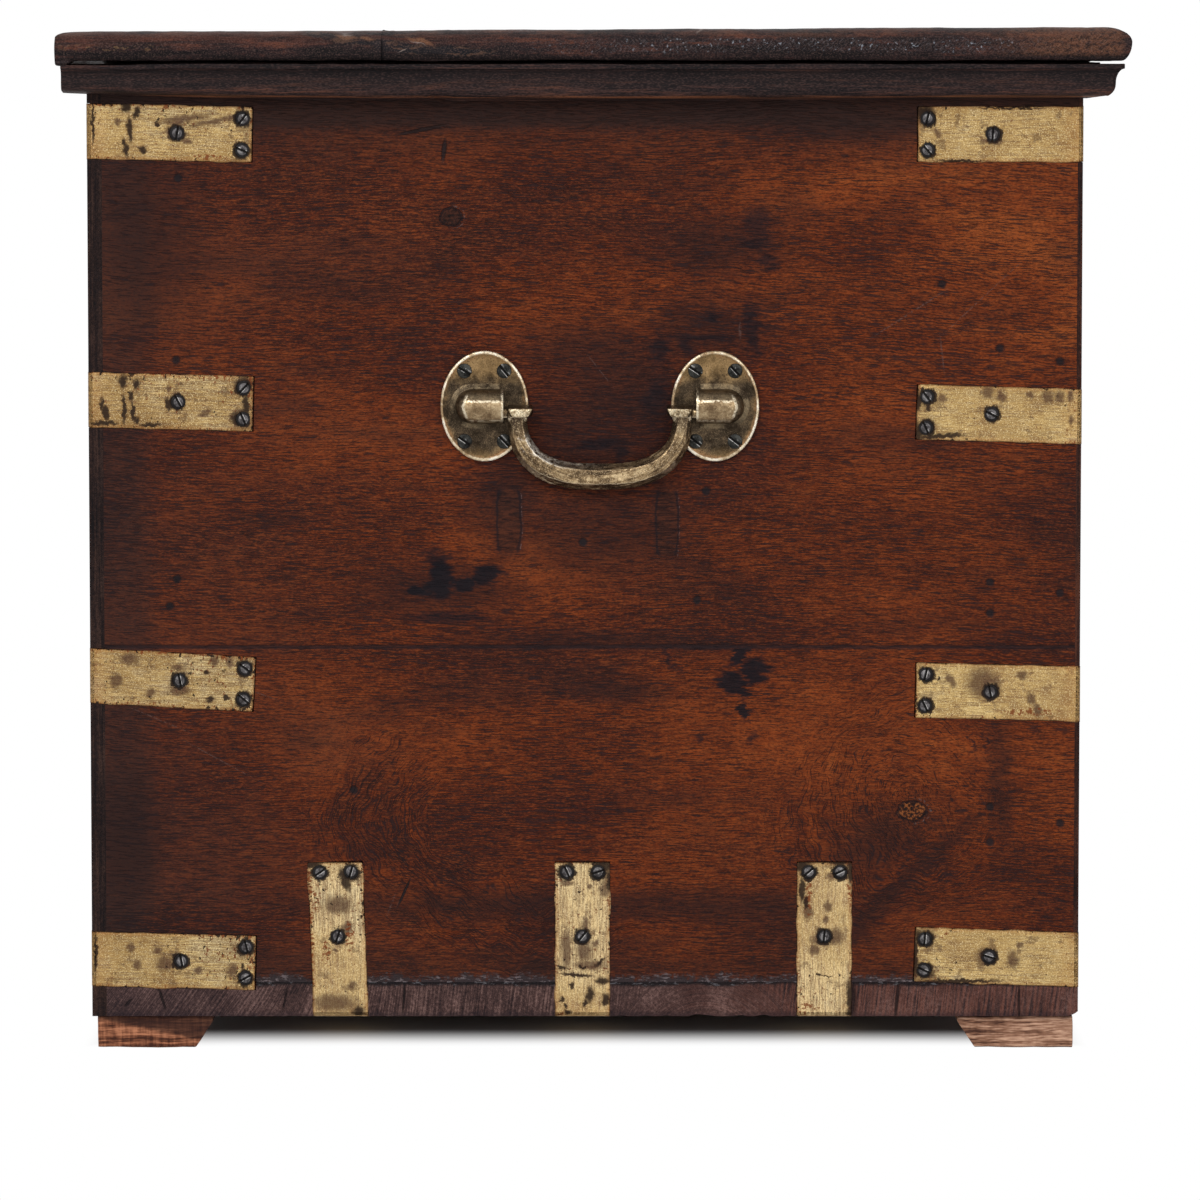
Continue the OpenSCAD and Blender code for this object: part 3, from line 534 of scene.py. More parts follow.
def sliced(piece, axis, places):
    """Cuts rows of edges across a piece, so that it can be dented between them."""
    only(piece)
    edit()
    for place in places:
        middle, normal = [0, 0, 0], [0, 0, 0]
        middle[axis], normal[axis] = place, 1
        bpy.ops.mesh.select_all(action="SELECT")
        bpy.ops.mesh.bisect(plane_co=middle, plane_no=normal)
    edited()


def between(low, high, pitch):
    """Even places from low to high, a pitch or less apart, without the two ends."""
    count = math.ceil((high - low) / pitch)
    return [low + (high - low) * i / count for i in range(1, count)]


def dented(piece, size, depth, level=1.0):
    """Wears hollows of a size and depth into the whole surface."""
    clouds = bpy.data.textures.new(piece.name + "_wear", "CLOUDS")
    clouds.noise_scale, clouds.noise_depth = size, 2
    worked(piece, "DISPLACE", texture=clouds, strength=depth, mid_level=level, texture_coords="LOCAL")


def fitted(piece, finish, body, slot, *replaced):
    """Gives a piece its finish, and fits it to its CAD body in place of the nodes that it stands for."""
    only(piece)
    bpy.ops.object.shade_smooth_by_angle(angle=math.radians(35))
    piece.data.materials.clear()
    piece.data.materials.append(finish.material)
    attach(piece, body)
    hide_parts(*replaced)


chips = random.Random(7)
chip_waves = [(chips.uniform(120, 900), chips.uniform(0, 6.3), chips.uniform(0.2, 1)) for _ in range(9)]
for node in ("bottom_board", "bottom_front_strip"):
    board = blank(f"chipped_{node}", node)
    low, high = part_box(node)
    sliced(board, 1, between(low.y, high.y, 0.0015))
    sliced(board, 2, (low.z + 0.0012, low.z + 0.0025, low.z + 0.004))
    for vertex in board.data.vertices:
        x, y, z = vertex.co
        if abs(x) > 0.4565 and z < low.z + 0.0013:
            broken = math.exp(-((y + 0.055) / 0.040) ** 4) if x < 0 else 0.15
            rough = sum(size * math.sin(rate * y + shift) for rate, shift, size in chip_waves) / 2.2
            lift = 0.0007 * rough * broken + 0.0001 * rough
            outer = max(0.0, (abs(y - case_y) - 0.2225) / 0.006)
            vertex.co.z += max(0.0, lift) + 0.0023 * outer ** 2.4
            vertex.co.x -= math.copysign(max(0.0, lift) * 0.5, x)
    fitted(board, bottom_teak, "case", "teak", node)


def foot_wood(name, tones, cross, slope, top):
    """Pale sawn wood: cross is the share of saw marks, and the wood is darker above top, which is lower by slope
    inwards.
    """
    finish = Finish(name, **bare_wood)
    at = finish.at
    warp = (finish.noise(at, (30, 40, 60), 2) - 0.5) * 0.004
    x, y, z = finish.axes(at)
    bent = finish.join(X=x, Y=y, Z=z + warp)
    band = finish.noise(bent, (500, 26, 640), 4, 0.72)
    saw = finish.noise(at, (40, 620, 60), 2, 0.6) * cross + 0.5 - 0.5 * cross
    fleck = finish.noise(at, (900, 200, 1100), 2)
    tone = (band * 0.56 + saw * 0.24 + fleck * 0.20).scale(0.41, 0.59)
    finish.colour = finish.ramp(tone, *tones)
    # Darker above top, which is lower by slope inwards.
    height = z + (finish.noise(at, (90, 120, 200), 3) - 0.5) * 0.006 + (0.219 - (y - case_y).size()) * slope
    finish.paint(height.step(top - 0.002, top + 0.001) * 0.82, (0.030, 0.014, 0.012))
    base = z.step(0.0012, 0.0004)
    finish.paint(base * 0.7, (0.020, 0.010, 0.008))
    finish.set(0.6 + fleck * 0.2, band + saw, 0.0003)
    return finish


back_tones = ((0, (0.055, 0.020, 0.013)), (0.45, (0.195, 0.072, 0.038)), (1, (0.48, 0.20, 0.105)))
front_tones = ((0, (0.060, 0.026, 0.018)), (0.4, (0.24, 0.118, 0.072)), (1, (0.62, 0.38, 0.26)))
foot_woods = {"back": foot_wood("back_foot_wood", back_tones, 1.0, 0.21, 0.0129),
              "front": foot_wood("front_foot_wood", front_tones, 0.15, 0, 0.0150)}
for end in ("left", "right"):
    for side, wood in foot_woods.items():
        foot = blank(f"{side}_{end}_block", f"foot_{end}_{side}")
        low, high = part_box(f"foot_{end}_{side}")
        softened(foot, 0.0007, angle=0.6)
        sliced(foot, 0, between(low.x, high.x, 0.004))
        sliced(foot, 1, between(low.y, high.y, 0.003))
        sliced(foot, 2, between(low.z, high.z, 0.003))
        dented(foot, 0.012, 0.0007)
        fitted(foot, wood, "case", "foot_wood", f"foot_{end}_{side}")


# ---- Straps
# Sixteen corner straps and six bottom straps of hard sheet brass, bent round the edges, let in flush and screwed.
# They are brushed bright along their length, with dark pitting, rust specks and black grime round the screws.

# A strap's width, thickness, height above the wood and radius at the bend, and the rows of faces on each leg
strap_w, strap_t, strap_proud, bend = 0.025, 0.002, 0.0003, 0.0022
strap_cells, tiny = 36, 1e-6
# The screws' distance from the end of a leg, and of the two outer ones from its middle line
end_screw, mid_screw, gauge = 0.0046, 0.0346, 0.0072
# The length of a leg, and of the upright leg of a bottom strap
corner_reach, up_reach = 0.076, 0.072
# The height of each corner strap's middle from the top one down, or a bottom strap's middle along Y, and its slope
back_straps = ((0.4246, 1.2), (0.3013, 1.4), (0.1739, 3.2), (0.0420, 1.4))
front_straps = ((0.4232, 0.0), (0.2935, 1.7), (0.1653, 1.4), (0.0415, 2.0))
bottom_straps = {"front": (-0.1068, 0), "middle": (0.0052, 0), "back": (0.1172, 2.0)}


def joined(pieces, name):
    """Joins pieces into one."""
    bpy.ops.object.select_all(action="DESELECT")
    for piece in pieces:
        piece.select_set(True)
    bpy.context.view_layer.objects.active = pieces[0]
    bpy.ops.object.join()
    bpy.ops.object.transform_apply(location=True, rotation=True, scale=True)
    whole = bpy.context.object
    whole.name = whole.data.name = name
    return whole


def cut_out(piece, cutter):
    """Cuts the form of a cutter out of a piece."""
    worked(piece, "BOOLEAN", operation="DIFFERENCE", object=cutter, solver="EXACT")
    bpy.data.objects.remove(cutter)


def pick(piece, test):
    """Opens a piece for editing with only the edges selected whose two ends pass a test."""
    edited()
    for vertex in piece.data.vertices:
        vertex.select = test(vertex.co)
    for edge in piece.data.edges:
        edge.select = all(piece.data.vertices[v].select for v in edge.vertices)
    for face in piece.data.polygons:
        face.select = False
    edit(False)


def keep_places(piece, name, place=lambda *co: co):
    """Keeps a place for each point of a piece under a name, for its finish."""
    kept = piece.data.attributes.new(name, "FLOAT_VECTOR", "POINT")
    for vertex, mark in zip(piece.data.vertices, kept.data):
        mark.vector = place(*vertex.co)


def outward(piece):
    """Turns every face of a piece outwards."""
    only(piece)
    edit()
    bpy.ops.mesh.normals_make_consistent(inside=False)
    edited()


def flat_strap(name, reach, other):
    """A level strap of two legs: one up from the origin along Y, a bend, and one back along Z, facing +Z and -Y."""
    bpy.ops.mesh.primitive_grid_add(x_subdivisions=12, y_subdivisions=strap_cells, size=1)
    strap = bpy.context.object
    strap.name = strap.data.name = name
    strap.scale = (strap_w, reach - bend, 1)
    strap.location = (0, bend + (reach - bend) / 2, 0)
    bpy.ops.object.transform_apply(location=True, rotation=True, scale=True)
    edit(False)
    bpy.ops.mesh.select_mode(type="EDGE")
    pick(strap, lambda co: co.y < bend + tiny)
    bpy.ops.mesh.spin(steps=5, angle=-math.pi / 2, center=(0, bend, -bend), axis=(1, 0, 0))
    step = (other - bend) / strap_cells
    pick(strap, lambda co: co.z < tiny - bend)
    for _ in range(strap_cells):
        bpy.ops.mesh.extrude_region_move(TRANSFORM_OT_translate={"value": (0, 0, -step)})
    bpy.ops.mesh.select_all(action="SELECT")
    bpy.ops.mesh.remove_doubles(threshold=0.00001)
    bpy.ops.mesh.normals_make_consistent(inside=False)
    edited()
    if sum(f.normal.z * f.area for f in strap.data.polygons) < 0:
        strap.data.flip_normals()
    only(strap)
    edit(False)
    bpy.ops.mesh.select_mode(type="VERT")
    edited()
    for vertex in strap.data.vertices:
        x, y, z = vertex.co
        vertex.select = abs(x) > strap_w / 2 - tiny and max(y - reach, -z - other) > -tiny
    edit(False)
    bpy.ops.mesh.bevel(offset=0.0007, segments=2, affect="VERTICES")
    bpy.ops.mesh.select_mode(type="EDGE")
    edited()
    worked(strap, "SOLIDIFY", thickness=strap_t, offset=-1, use_even_offset=True)
    cutters = []
    for leg, length in ((0, reach), (1, other)):
        for along, across in ((length - end_screw, gauge), (length - end_screw, -gauge), (length - mid_screw, 0)):
            bpy.ops.mesh.primitive_cone_add(vertices=32, radius1=0.0017, radius2=0.0039, depth=0.0026)
            cutter = bpy.context.object
            if leg == 0:
                cutter.location = (across, along, -0.0009)
            else:
                cutter.rotation_euler = (math.pi / 2, 0, 0)
                cutter.location = (across, 0.0009, -along)
            cutters.append(cutter)
    cut_out(strap, joined(cutters, "drill"))
    softened(strap, 0.00022)
    keep_places(strap, "strip", lambda x, y, z: (x, y, reach - y) if y > -z else (x, z, other + z))
    return strap


soot = ((93, 122, 1.3, 22), (130, 130, 3.2, 13, -0.1), (126, 150, 3, 7), (137, 113, 3, 6, 0.3), (124, 143, 2, 4),
        (143, 150, 3.5, 4), (126, 106, 5, 6), (102, 103, 16, 2.5), (157, 124, 1.5, 2), (123, 381, 4, 7),
        (131, 374, 2, 4), (137, 384, 3.5, 6, 0.3), (124, 409, 2.2, 14), (131, 396, 2.5, 5), (133, 412, 1.8, 11, -0.1),
        (102, 404, 2.5, 6), (106, 413, 3, 8, -0.3), (137, 421, 3, 4), (150, 425, 10, 2.2), (104, 423, 14, 2.2),
        (246, 408, 3.5, 14), (168, 405, 2.3, 6), (243, 386, 8, 8), (240, 419, 9, 7), (206, 672, 2.5, 1.8),
        (211, 699, 4, 2.2), (226, 698, 3, 2.5), (925, 114, 9, 9), (960, 161, 24, 1.4), (918, 402, 4, 9),
        (918, 432, 4, 9), (928, 425, 7, 6), (928, 408, 3, 4), (940, 436, 24, 2.4, -0.06), (1068, 386, 8, 2.5),
        (922, 938, 8, 8), (925, 972, 9, 6), (915, 956, 3, 22), (960, 981, 40, 2.0), (1010, 108, 30, 0.9),
        (312, 863, 9, 4.5), (345, 880, 4, 12, -0.3), (359, 1012, 6, 6), (603, 866, 10, 7), (609, 880, 3, 10),
        (561, 968, 4, 2.2, 0.5), (576, 975, 16, 1.7, 0.08), (583, 967, 4, 1.2), (602, 981, 7, 4),
        (590, 995, 4, 8, 0.2), (572, 986, 2, 3), (606, 1000, 4, 6), (585, 1004, 3, 4, 0.5), (562, 1000, 2, 3),
        (568, 1012, 4, 2.5), (600, 962, 6, 2, -0.8), (566, 1006, 1.5, 2.5), (803, 866, 7, 7), (802, 890, 3, 13),
        (806, 903, 2.5, 7), (851, 872, 3, 12), (852, 893, 2.5, 8), (851, 1001, 5, 22), (818, 974, 2.5, 1.3, 0.5),
        (826, 976, 6, 0.7, 0.15), (840, 862, 12, 3), (243, 966, 2, 3), (96, 953, 1.5, 18))
smears = ((185, 119, 26, 4, -0.15), (170, 131, 4, 6), (187, 141, 5, 3), (215, 121, 25, 3, -0.2), (118, 122, 3, 4),
          (168, 388, 2, 4), (205, 413, 8, 3, -0.4), (130, 659, 9, 6), (116, 681, 6, 8), (150, 693, 5, 4),
          (177, 668, 5, 3), (180, 691, 10, 5), (214, 661, 4, 5), (230, 662, 4, 6), (131, 947, 4, 5), (137, 964, 4, 5),
          (157, 950, 4, 4), (166, 963, 10, 8), (198, 971, 4, 4), (232, 971, 5, 7, 0.2), (243, 950, 7, 6),
          (938, 133, 3, 6, -0.5), (992, 141, 11, 4), (988, 392, 6, 7), (1001, 397, 5, 5), (1030, 395, 4, 3),
          (1048, 397, 6, 6, 0.3), (1060, 397, 5, 6), (1071, 396, 3, 7), (1071, 420, 3, 4), (942, 398, 5, 4),
          (951, 680, 4, 8, -0.5), (982, 683, 15, 15), (1022, 675, 6, 4), (1031, 699, 4, 7, -0.5),
          (1037, 710, 4, 7, -0.4), (1013, 960, 6, 9), (1020, 945, 3, 3), (985, 957, 10, 9), (338, 905, 14, 9),
          (337, 941, 4, 3), (336, 950, 3, 2), (347, 927, 5, 5), (334, 1003, 22, 9), (352, 985, 4, 4),
          (567, 883, 6, 3), (590, 887, 3, 2), (604, 890, 5, 7), (585, 924, 4, 7), (566, 948, 5, 20), (595, 944, 4, 4),
          (584, 952, 9, 9), (590, 965, 16, 5), (832, 876, 6, 4), (828, 906, 4, 5), (826, 919, 3, 4), (818, 940, 8, 6),
          (836, 936, 8, 8), (814, 950, 5, 5), (808, 912, 4, 8))
rust_rows = ((311, 945, 3, 62), (316, 897, 5, 14), (150, 651, 22, 3), (232, 657, 20, 3), (219, 379, 11, 3),
             (232, 392, 3, 4), (808, 893, 4, 25), (850, 885, 4, 22), (915, 711, 10, 4), (350, 935, 4, 20),
             (327, 950, 5, 18), (205, 157, 20, 2), (250, 390, 3, 20), (250, 950, 3, 22), (1030, 712, 30, 3),
             (560, 1014, 8, 4), (805, 1010, 8, 8), (944, 935, 8, 3))

# How much darker than the right end's brass each corner strap of the left end is
tarnish = {"left_back_1": 0.40, "left_back_2": 0.64, "left_back_3": 0.53, "left_back_4": 0.38, "left_front_1": 0.30,
           "left_front_2": 0.19, "left_front_3": 0.05, "left_front_4": 0.13}


def strap_brass(name, node=None):
    """The brass of every strap; with a node, also the marks on that strap of the left end."""
    finish = Finish(name, Metallic=1.0, Specular_IOR_Level=0.05)
    at = finish.at
    strip, sheet = finish.kept("strip"), finish.kept("sheet", "Fac")
    own = finish.vector("ADD", strip, finish.join(X=sheet, Y=sheet))
    x, _, from_end = finish.axes(strip)
    across = x.size()
    brush = finish.noise(own, (1200, 48, 48), 3, 0.65)
    hair = finish.noise(own, (2100, 60, 60), 2, 0.6, 21)
    cloud = finish.noise(own, (85, 60, 60), 3, 0.6, 3)
    whole = finish.noise(own, (20, 12, 12), 2, 0.5, 8)
    ragged = finish.noise(own, (300, 300, 300), 3, 0.65, 2) - 0.5
    shine = (brush * 0.28 + cloud * 0.37 + whole * 0.35).scale(0.40, 0.60)
    finish.colour = finish.ramp(shine, (0, (0.33, 0.200, 0.080)), (0.35, (0.52, 0.350, 0.135)),
                                (0.7, (0.68, 0.49, 0.205)), (1, (0.84, 0.68, 0.36)))
    brown = tarnish.get(node[6:]) if node else 0.2
    if brown is None:
        finish.paint(whole.scale(0.40, 0.60, 0.10, 0.30), (0.90, 0.70, 0.46))
    else:
        finish.paint(whole.scale(0.40, 0.60, brown * 1.3, brown * 0.8), (0.38, 0.28, 0.20), "MULTIPLY")
    finish.paint((hair + (whole - 0.5) * 0.5).step(0.515, 0.60) * 0.58, (0.120, 0.066, 0.040))
    finish.paint((brush + (cloud - 0.5) * 0.8).step(0.55, 0.68) * 0.42, (0.15, 0.078, 0.040))
    grey_hair = finish.noise(own, (2900, 260, 260), 2, 0.6, 31)
    finish.paint(grey_hair.step(0.50, 0.62) * 0.42, (0.19, 0.115, 0.055))
    sparkle = finish.noise(own, (2400, 1300, 1300), 1, 0.5, 57)
    finish.paint(sparkle.step(0.54, 0.66) * 0.38, (0.20, 0.115, 0.052))
    finish.paint(sparkle.step(0.44, 0.34) * 0.45, (0.92, 0.76, 0.44))
    place = finish.join(X=across, Y=from_end)
    near = rings = None
    for spot in ((gauge, end_screw, 0), (0, mid_screw, 0)):
        far = finish.vector("DISTANCE", place, spot, out=1)
        ring = (far + ragged * 0.0045).step(0.0046, 0.0036)
        halo = far.step(0.0105, 0.0035)
        rings = ring if rings is None else rings.or_else(ring)
        near = halo if near is None else near.or_else(halo)
    blot = finish.noise(own, (150, 110, 110), 5, 0.72, 9)
    smear = (blot + near * 0.09).step(0.545, 0.655)
    finish.paint(smear * 0.50, (0.080, 0.040, 0.024))
    rim = (across + ragged * 0.003).step(0.0104, 0.0126)
    lip = (from_end + ragged * 0.003).step(0.0018, 0.0002)
    edge = rim.or_else(lip)
    fold = (from_end + ragged * 0.016).step(0.062, 0.077)
    finish.paint(edge * 0.42 + fold * 0.30, (0.36, 0.165, 0.050))
    outline = across.step(0.01195, 0.01235).or_else(from_end.step(0.0006, 0.0002))
    finish.paint(outline * 0.55, (0.07, 0.032, 0.018))
    few = 0.02 if node else 0
    pitted = finish.noise(own, (420, 330, 330), 3, 0.6, 15) + edge * 0.085 + (whole - 0.5) * 0.25
    bite = pitted.step(0.655 + few, 0.70 + few)
    rusted = finish.noise(own, (560, 560, 560), 2, 0.5, 6) + edge * 0.085 + fold * 0.02 + (whole - 0.5) * 0.4
    finish.paint(rusted.step(0.67 + few, 0.71 + few) * 0.85, (0.15, 0.040, 0.014))
    grime = bite.or_else(rings)
    if node:
        low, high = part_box(node)
        bent = shaken(finish, at, 380, 0.0022, 5)

        def own_marks(spots, soft):
            places = [(spot, *seen(*spot[:2])) for spot in spots]
            near = [spot for spot, y, z in places if low.y < y < high.y and low.z < z < high.z]
            return marks(finish, bent, near, soft)

        left = finish.axes(at)[0].step(-0.4565, -0.4568)
        finish.paint(own_marks(smears, 0.55) * left * 0.80, (0.078, 0.039, 0.026))
        finish.paint(own_marks(soot, 1.2) * left * 0.6, (0.125, 0.058, 0.028))
        red = own_marks(rust_rows, 0.3) * left * finish.noise(own, (460, 460, 460), 2, 0.6, 26).step(0.49, 0.57)
        finish.paint(red * 0.88, (0.17, 0.044, 0.014))
        grime = grime.or_else(own_marks(soot, 0.42) * left * 0.95)
    finish.paint(grime * 0.95, (0.020, 0.0125, 0.010))
    finish.set(0.34 + cloud * 0.2 + grime * 0.25 + smear * 0.1, brush * 0.5 - grime * 1.2 - smear * 0.5, 0.00018,
               1 - grime * 0.8 - smear * 0.3)
    return finish


def strap_copy(pattern, name, seed, turn, place):
    """One strap: the pattern turned to its place, with its own uneven edges."""
    strap = duplicate(pattern, name)
    dice = random.Random(seed)
    waves = [(dice.uniform(60, 420), dice.uniform(0, 6.3), dice.uniform(0.00004, 0.00011)) for _ in range(10)]

    def wave(along, part):
        return sum(size * math.sin(rate * along + shift) for rate, shift, size in waves[part::2])

    for vertex in strap.data.vertices:
        x, y, z = vertex.co
        along = y if y > -z else z
        side = max(0.0, (abs(x) - 0.0106) / 0.0019)
        pull = min(0.00022, 1.7 * wave(along, 0 if x > 0 else 1) - 0.00012) * side
        inner = 0.0
        if pattern.name.startswith("corner"):
            inner = max(0.0, min(1.0, (max(y, -z) - 0.0735) / 0.0015)) * wave(x, 0)
        vertex.co.x += math.copysign(pull, x)
        if y > -z:
            vertex.co.y += inner
        else:
            vertex.co.z -= inner
    for vertex in strap.data.vertices:
        vertex.co = place(turn(vertex.co))
    strap.data.update()
    sheet = strap.data.attributes.new("sheet", "FLOAT", "POINT")
    sheet.data.foreach_set("value", [seed * 0.53] * len(strap.data.vertices))
    outward(strap)
    return strap


plain_strap = strap_brass("strap_brass")
corner_pattern = flat_strap("corner_pattern", corner_reach, corner_reach)
bottom_pattern = flat_strap("bottom_pattern", up_reach, corner_reach)
seed = 0
for end, sx in (("left", -1), ("right", 1)):
    for side, sy, rows in (("front", -1, front_straps), ("back", 1, back_straps)):
        for row, (height, slope) in enumerate(rows, 1):
            lean = math.radians(slope)

            def turned(co):
                # pattern X runs up the case, Y runs in across the end, -Z runs in along the face
                share = min(1, max(0, co.y) / 0.02)
                inward = co.y * math.cos(lean) + (sy * co.x * math.sin(lean)) * share
                rise = co.x * (math.cos(lean) if share else 1) - sy * co.y * math.sin(lean)
                return inward, rise, co.z

            def placed(co):
                inward, rise, deep = co
                return (sx * (end_x + strap_proud + deep), case_y + sy * (half_depth + strap_proud - inward),
                        height + rise)

            seed += 1
            strap = strap_copy(corner_pattern, f"corner_strap_{end}_{side}_{row}", seed, turned, placed)
            node = f"strap_{end}_{side}_{row}"
            brass = strap_brass(f"brass_of_{node}", node) if end == "left" else plain_strap
            fitted(strap, brass, "case", "strap_brass", node)
    for side, (middle, slope) in bottom_straps.items():
        lean = math.radians(slope)
        seed += 1
        strap = strap_copy(bottom_pattern, f"under_strap_{end}_{side}", seed,
                           lambda co: (co.x * math.cos(lean) + max(0, co.y) * math.sin(lean), co.y, co.z),
                           lambda co: (sx * (end_x + strap_proud + co[2]), middle + co[0],
                                       case_low - strap_proud + co[1]))
        node = f"bottom_strap_{end}_{side}"
        brass = strap_brass(f"brass_of_{node}", node) if end == "left" else plain_strap
        fitted(strap, brass, "case", "strap_brass", node)
for pattern in (corner_pattern, bottom_pattern):
    bpy.data.objects.remove(pattern)


# ---- Screws
# Slotted countersunk steel screws, driven flush by hand: three in each leg of every strap, four in each handle plate,
# and those of the hinges and the lock. They have gone black, with grey heads whose slots point every way, painted
# shade in the slots and painted glints beside them.

def added(kind, **settings):
    """A new primitive, with its place, turn and size in its mesh, open for editing."""
    getattr(bpy.ops.mesh, f"primitive_{kind}_add")(**settings)
    bpy.ops.object.transform_apply(location=True, rotation=True, scale=True)
    edit()
    return bpy.context.object


# From the face of its head down: the rim, the countersunk neck, the shank and the point, and then the slot
screw = added("circle", vertices=28, radius=0.0031, fill_type="NGON")
for drop, grow in ((0.00022, 1.13), (0.0015, 0.56), (0.0082, 1.0), (0.004, 0.2)):
    bpy.ops.mesh.extrude_region_move(TRANSFORM_OT_translate={"value": (0, 0, -drop)})
    bpy.ops.transform.resize(value=(grow, grow, 1), center_override=(0, 0, 0))
bpy.ops.mesh.select_all(action="SELECT")
bpy.ops.mesh.normals_make_consistent(inside=False)
edited()
bpy.ops.mesh.primitive_cube_add(size=1, location=(0, 0, 0), scale=(0.009, 0.0009, 0.0017))
cut_out(screw, bpy.context.object)
softened(screw, 0.00012, 1)
keep_places(screw, "slotted")


def screw_steel(name, low, high, rim):
    """Steel between a low and a high tone, black outside the rim, with black painted shade in the slot and painted
    glints beside it.
    """
    finish = Finish(name, Metallic=1.0, Specular_IOR_Level=0.05)
    x, y, z = finish.axes(finish.kept("slotted"))
    cloud = finish.noise(finish.at, (300, 300, 300), 3, 0.6)
    rust = finish.noise(finish.at, (1100, 1100, 1100), 2, 0.6, 4)
    finish.colour = finish.ramp((cloud * 0.6 + rust * 0.4).scale(0.4, 0.6), (0, low), (1, high))
    # Painted glints: a bright one along one edge of the slot, and a fainter grey one further out on the other side.
    glint = (y - 0.00062).size().step(0.00022, 0.00008) * cloud.step(0.40, 0.52)
    finish.paint(glint, (0.50, 0.48, 0.46))
    worn = (y + 0.0011).size().step(0.0004, 0.0001) * cloud.step(0.50, 0.60)
    finish.paint(worn * 0.6, (0.32, 0.31, 0.30))
    out = finish.length(finish.join(X=x, Y=y))
    # Black outside the rim, and black painted shade in the slot.
    black = y.size().step(0.00052, 0.00042).or_else(out.step(rim - 0.0004, rim)).or_else(z.step(-0.0002, -0.0004))
    finish.paint(black * 0.92, (0.008, 0.007, 0.007))
    finish.set(0.33 + rust * 0.3, rust, 0.00010, 1 - black * 0.8)
    return finish


case_steel = screw_steel("worn_steel", (0.045, 0.040, 0.040), (0.170, 0.160, 0.162), 0.0024)
handle_steel = screw_steel("black_steel", (0.014, 0.014, 0.013), (0.055, 0.055, 0.050), 0.0034)
for node, body in (("case_screws", "case"), ("handle_screws", "case"), ("lid_screws", "lid")):
    blank("loose_screws", node)
    edit()
    bpy.ops.mesh.separate(type="LOOSE")
    edited()
    made = []
    # Each loose part is one CAD screw, which lies along its longest side with its head where most of its points are
    for number, part in enumerate(list(bpy.context.selected_objects)):
        points = [v.co.copy() for v in part.data.vertices]
        low = Vector([min(p[i] for p in points) for i in range(3)])
        high = Vector([max(p[i] for p in points) for i in range(3)])
        axis = max(range(3), key=lambda i: (high - low)[i])
        middle = (low + high) / 2
        sign = 1 if sum(p[axis] for p in points) / len(points) > middle[axis] else -1
        direction = Vector([sign if i == axis else 0 for i in range(3)])
        head = middle.copy()
        head[axis] = high[axis] if sign > 0 else low[axis]
        one = duplicate(screw, "screw")
        one.rotation_mode = "QUATERNION"
        one.rotation_quaternion = direction.to_track_quat("Z", "Y") @ Vector((0, 0, 1)).to_track_quat("Z", "Y")
        spin = random.Random(node + str(number)).uniform(0, math.pi)
        if node == "handle_screws":
            spin = (spin / 6 + 0.5) * (1 if head.x > 0 else -1)
        one.data.transform(Matrix.Rotation(spin, 4, "Z"))
        one.location = head
        made.append(one)
        bpy.data.objects.remove(part)
    screws = joined(made, node.replace("screws", "slotted_screws"))
    fitted(screws, handle_steel if node == "handle_screws" else case_steel, body, "screw_steel", node)
bpy.data.objects.remove(screw)


# ---- Handles
# A cast brass bail at each end hangs by its pins in the half-round bosses of two oval plates, which are dished
# inside a raised rim. The brass is brown with age and dark in the hollows, with painted sheen, shade and highlights
# in its colour, and its rims are rubbed bright where hands reach.

def open_edge_filled():
    """Closes the open edge of the piece being edited."""
    bpy.ops.mesh.select_mode(type="EDGE")
    bpy.ops.mesh.select_all(action="DESELECT")
    bpy.ops.mesh.select_non_manifold(extend=False)
    bpy.ops.mesh.edge_face_add()


# Half the oval's width and height; the boss's radius, its reach out and in along the handle, and its height
half_w, half_h, boss_r, boss_out, boss_in, boss_up = 0.0202, 0.0254, 0.008, 0.0054, 0.0088, 0.0037
# The pin's place below the oval's middle and above the wood, and its radius; the ovals' and the handle's places
pin_drop, pin_up, pin_r, plate_pitch, handle_y, handle_z = 0.0032, 0.0065, 0.0025, 0.0531, -0.0028, 0.2985

# The oval: a cast disc with a rounded rim, four countersunk holes and a shallow dish
oval = added("circle", vertices=96, radius=1, fill_type="NGON")
bpy.ops.transform.resize(value=(half_w - 0.0003, half_h - 0.0003, 1))
bpy.ops.mesh.extrude_region_move(TRANSFORM_OT_translate={"value": (0, 0, 0.0006)})
bpy.ops.transform.resize(value=(half_w / (half_w - 0.0003), half_h / (half_h - 0.0003), 1))
bpy.ops.mesh.extrude_region_move(TRANSFORM_OT_translate={"value": (0, 0, 0.0014)})
for width, rise in ((0.0003, 0.00035), (0.0003, 0.00015), (0.0006, 0.0), (0.0005, -0.0002), (0.0010, -0.00018),
                    (0.003, -0.00006), (0.004, -0.00004)):
    bpy.ops.mesh.inset(thickness=width, depth=rise)
open_edge_filled()
edited()
drills = []
for x in (-0.0091, 0.0091):
    for y in (-0.0162, 0.0162):
        bpy.ops.mesh.primitive_cone_add(vertices=32, radius1=0.0015, radius2=0.0039, depth=0.0028,
                                        location=(x, y, 0.0013))
        drills.append(bpy.context.object)
cut_out(oval, joined(drills, "drill"))

# The pad under the boss: a half disc drawn out to the inner end
pad = added("circle", vertices=56, radius=boss_r + 0.0025, fill_type="NGON", location=(boss_out, 0, 0.001))
bpy.ops.mesh.bisect(plane_co=(boss_out, 0, 0), plane_no=(1, 0, 0), clear_inner=True)
pick(pad, lambda co: co.x < boss_out + tiny)
bpy.ops.mesh.select_mode(type="EDGE")
bpy.ops.mesh.extrude_region_move(TRANSFORM_OT_translate={"value": (-boss_out - boss_in + 0.0016, 0, 0)})
bpy.ops.mesh.select_mode(type="FACE")
bpy.ops.mesh.select_all(action="SELECT")
bpy.ops.mesh.extrude_region_move(TRANSFORM_OT_translate={"value": (0, 0, 0.0015)})
bpy.ops.mesh.inset(thickness=0.0008, depth=0.0004)
open_edge_filled()
bpy.ops.mesh.select_all(action="SELECT")
bpy.ops.mesh.normals_make_consistent(inside=False)
edited()

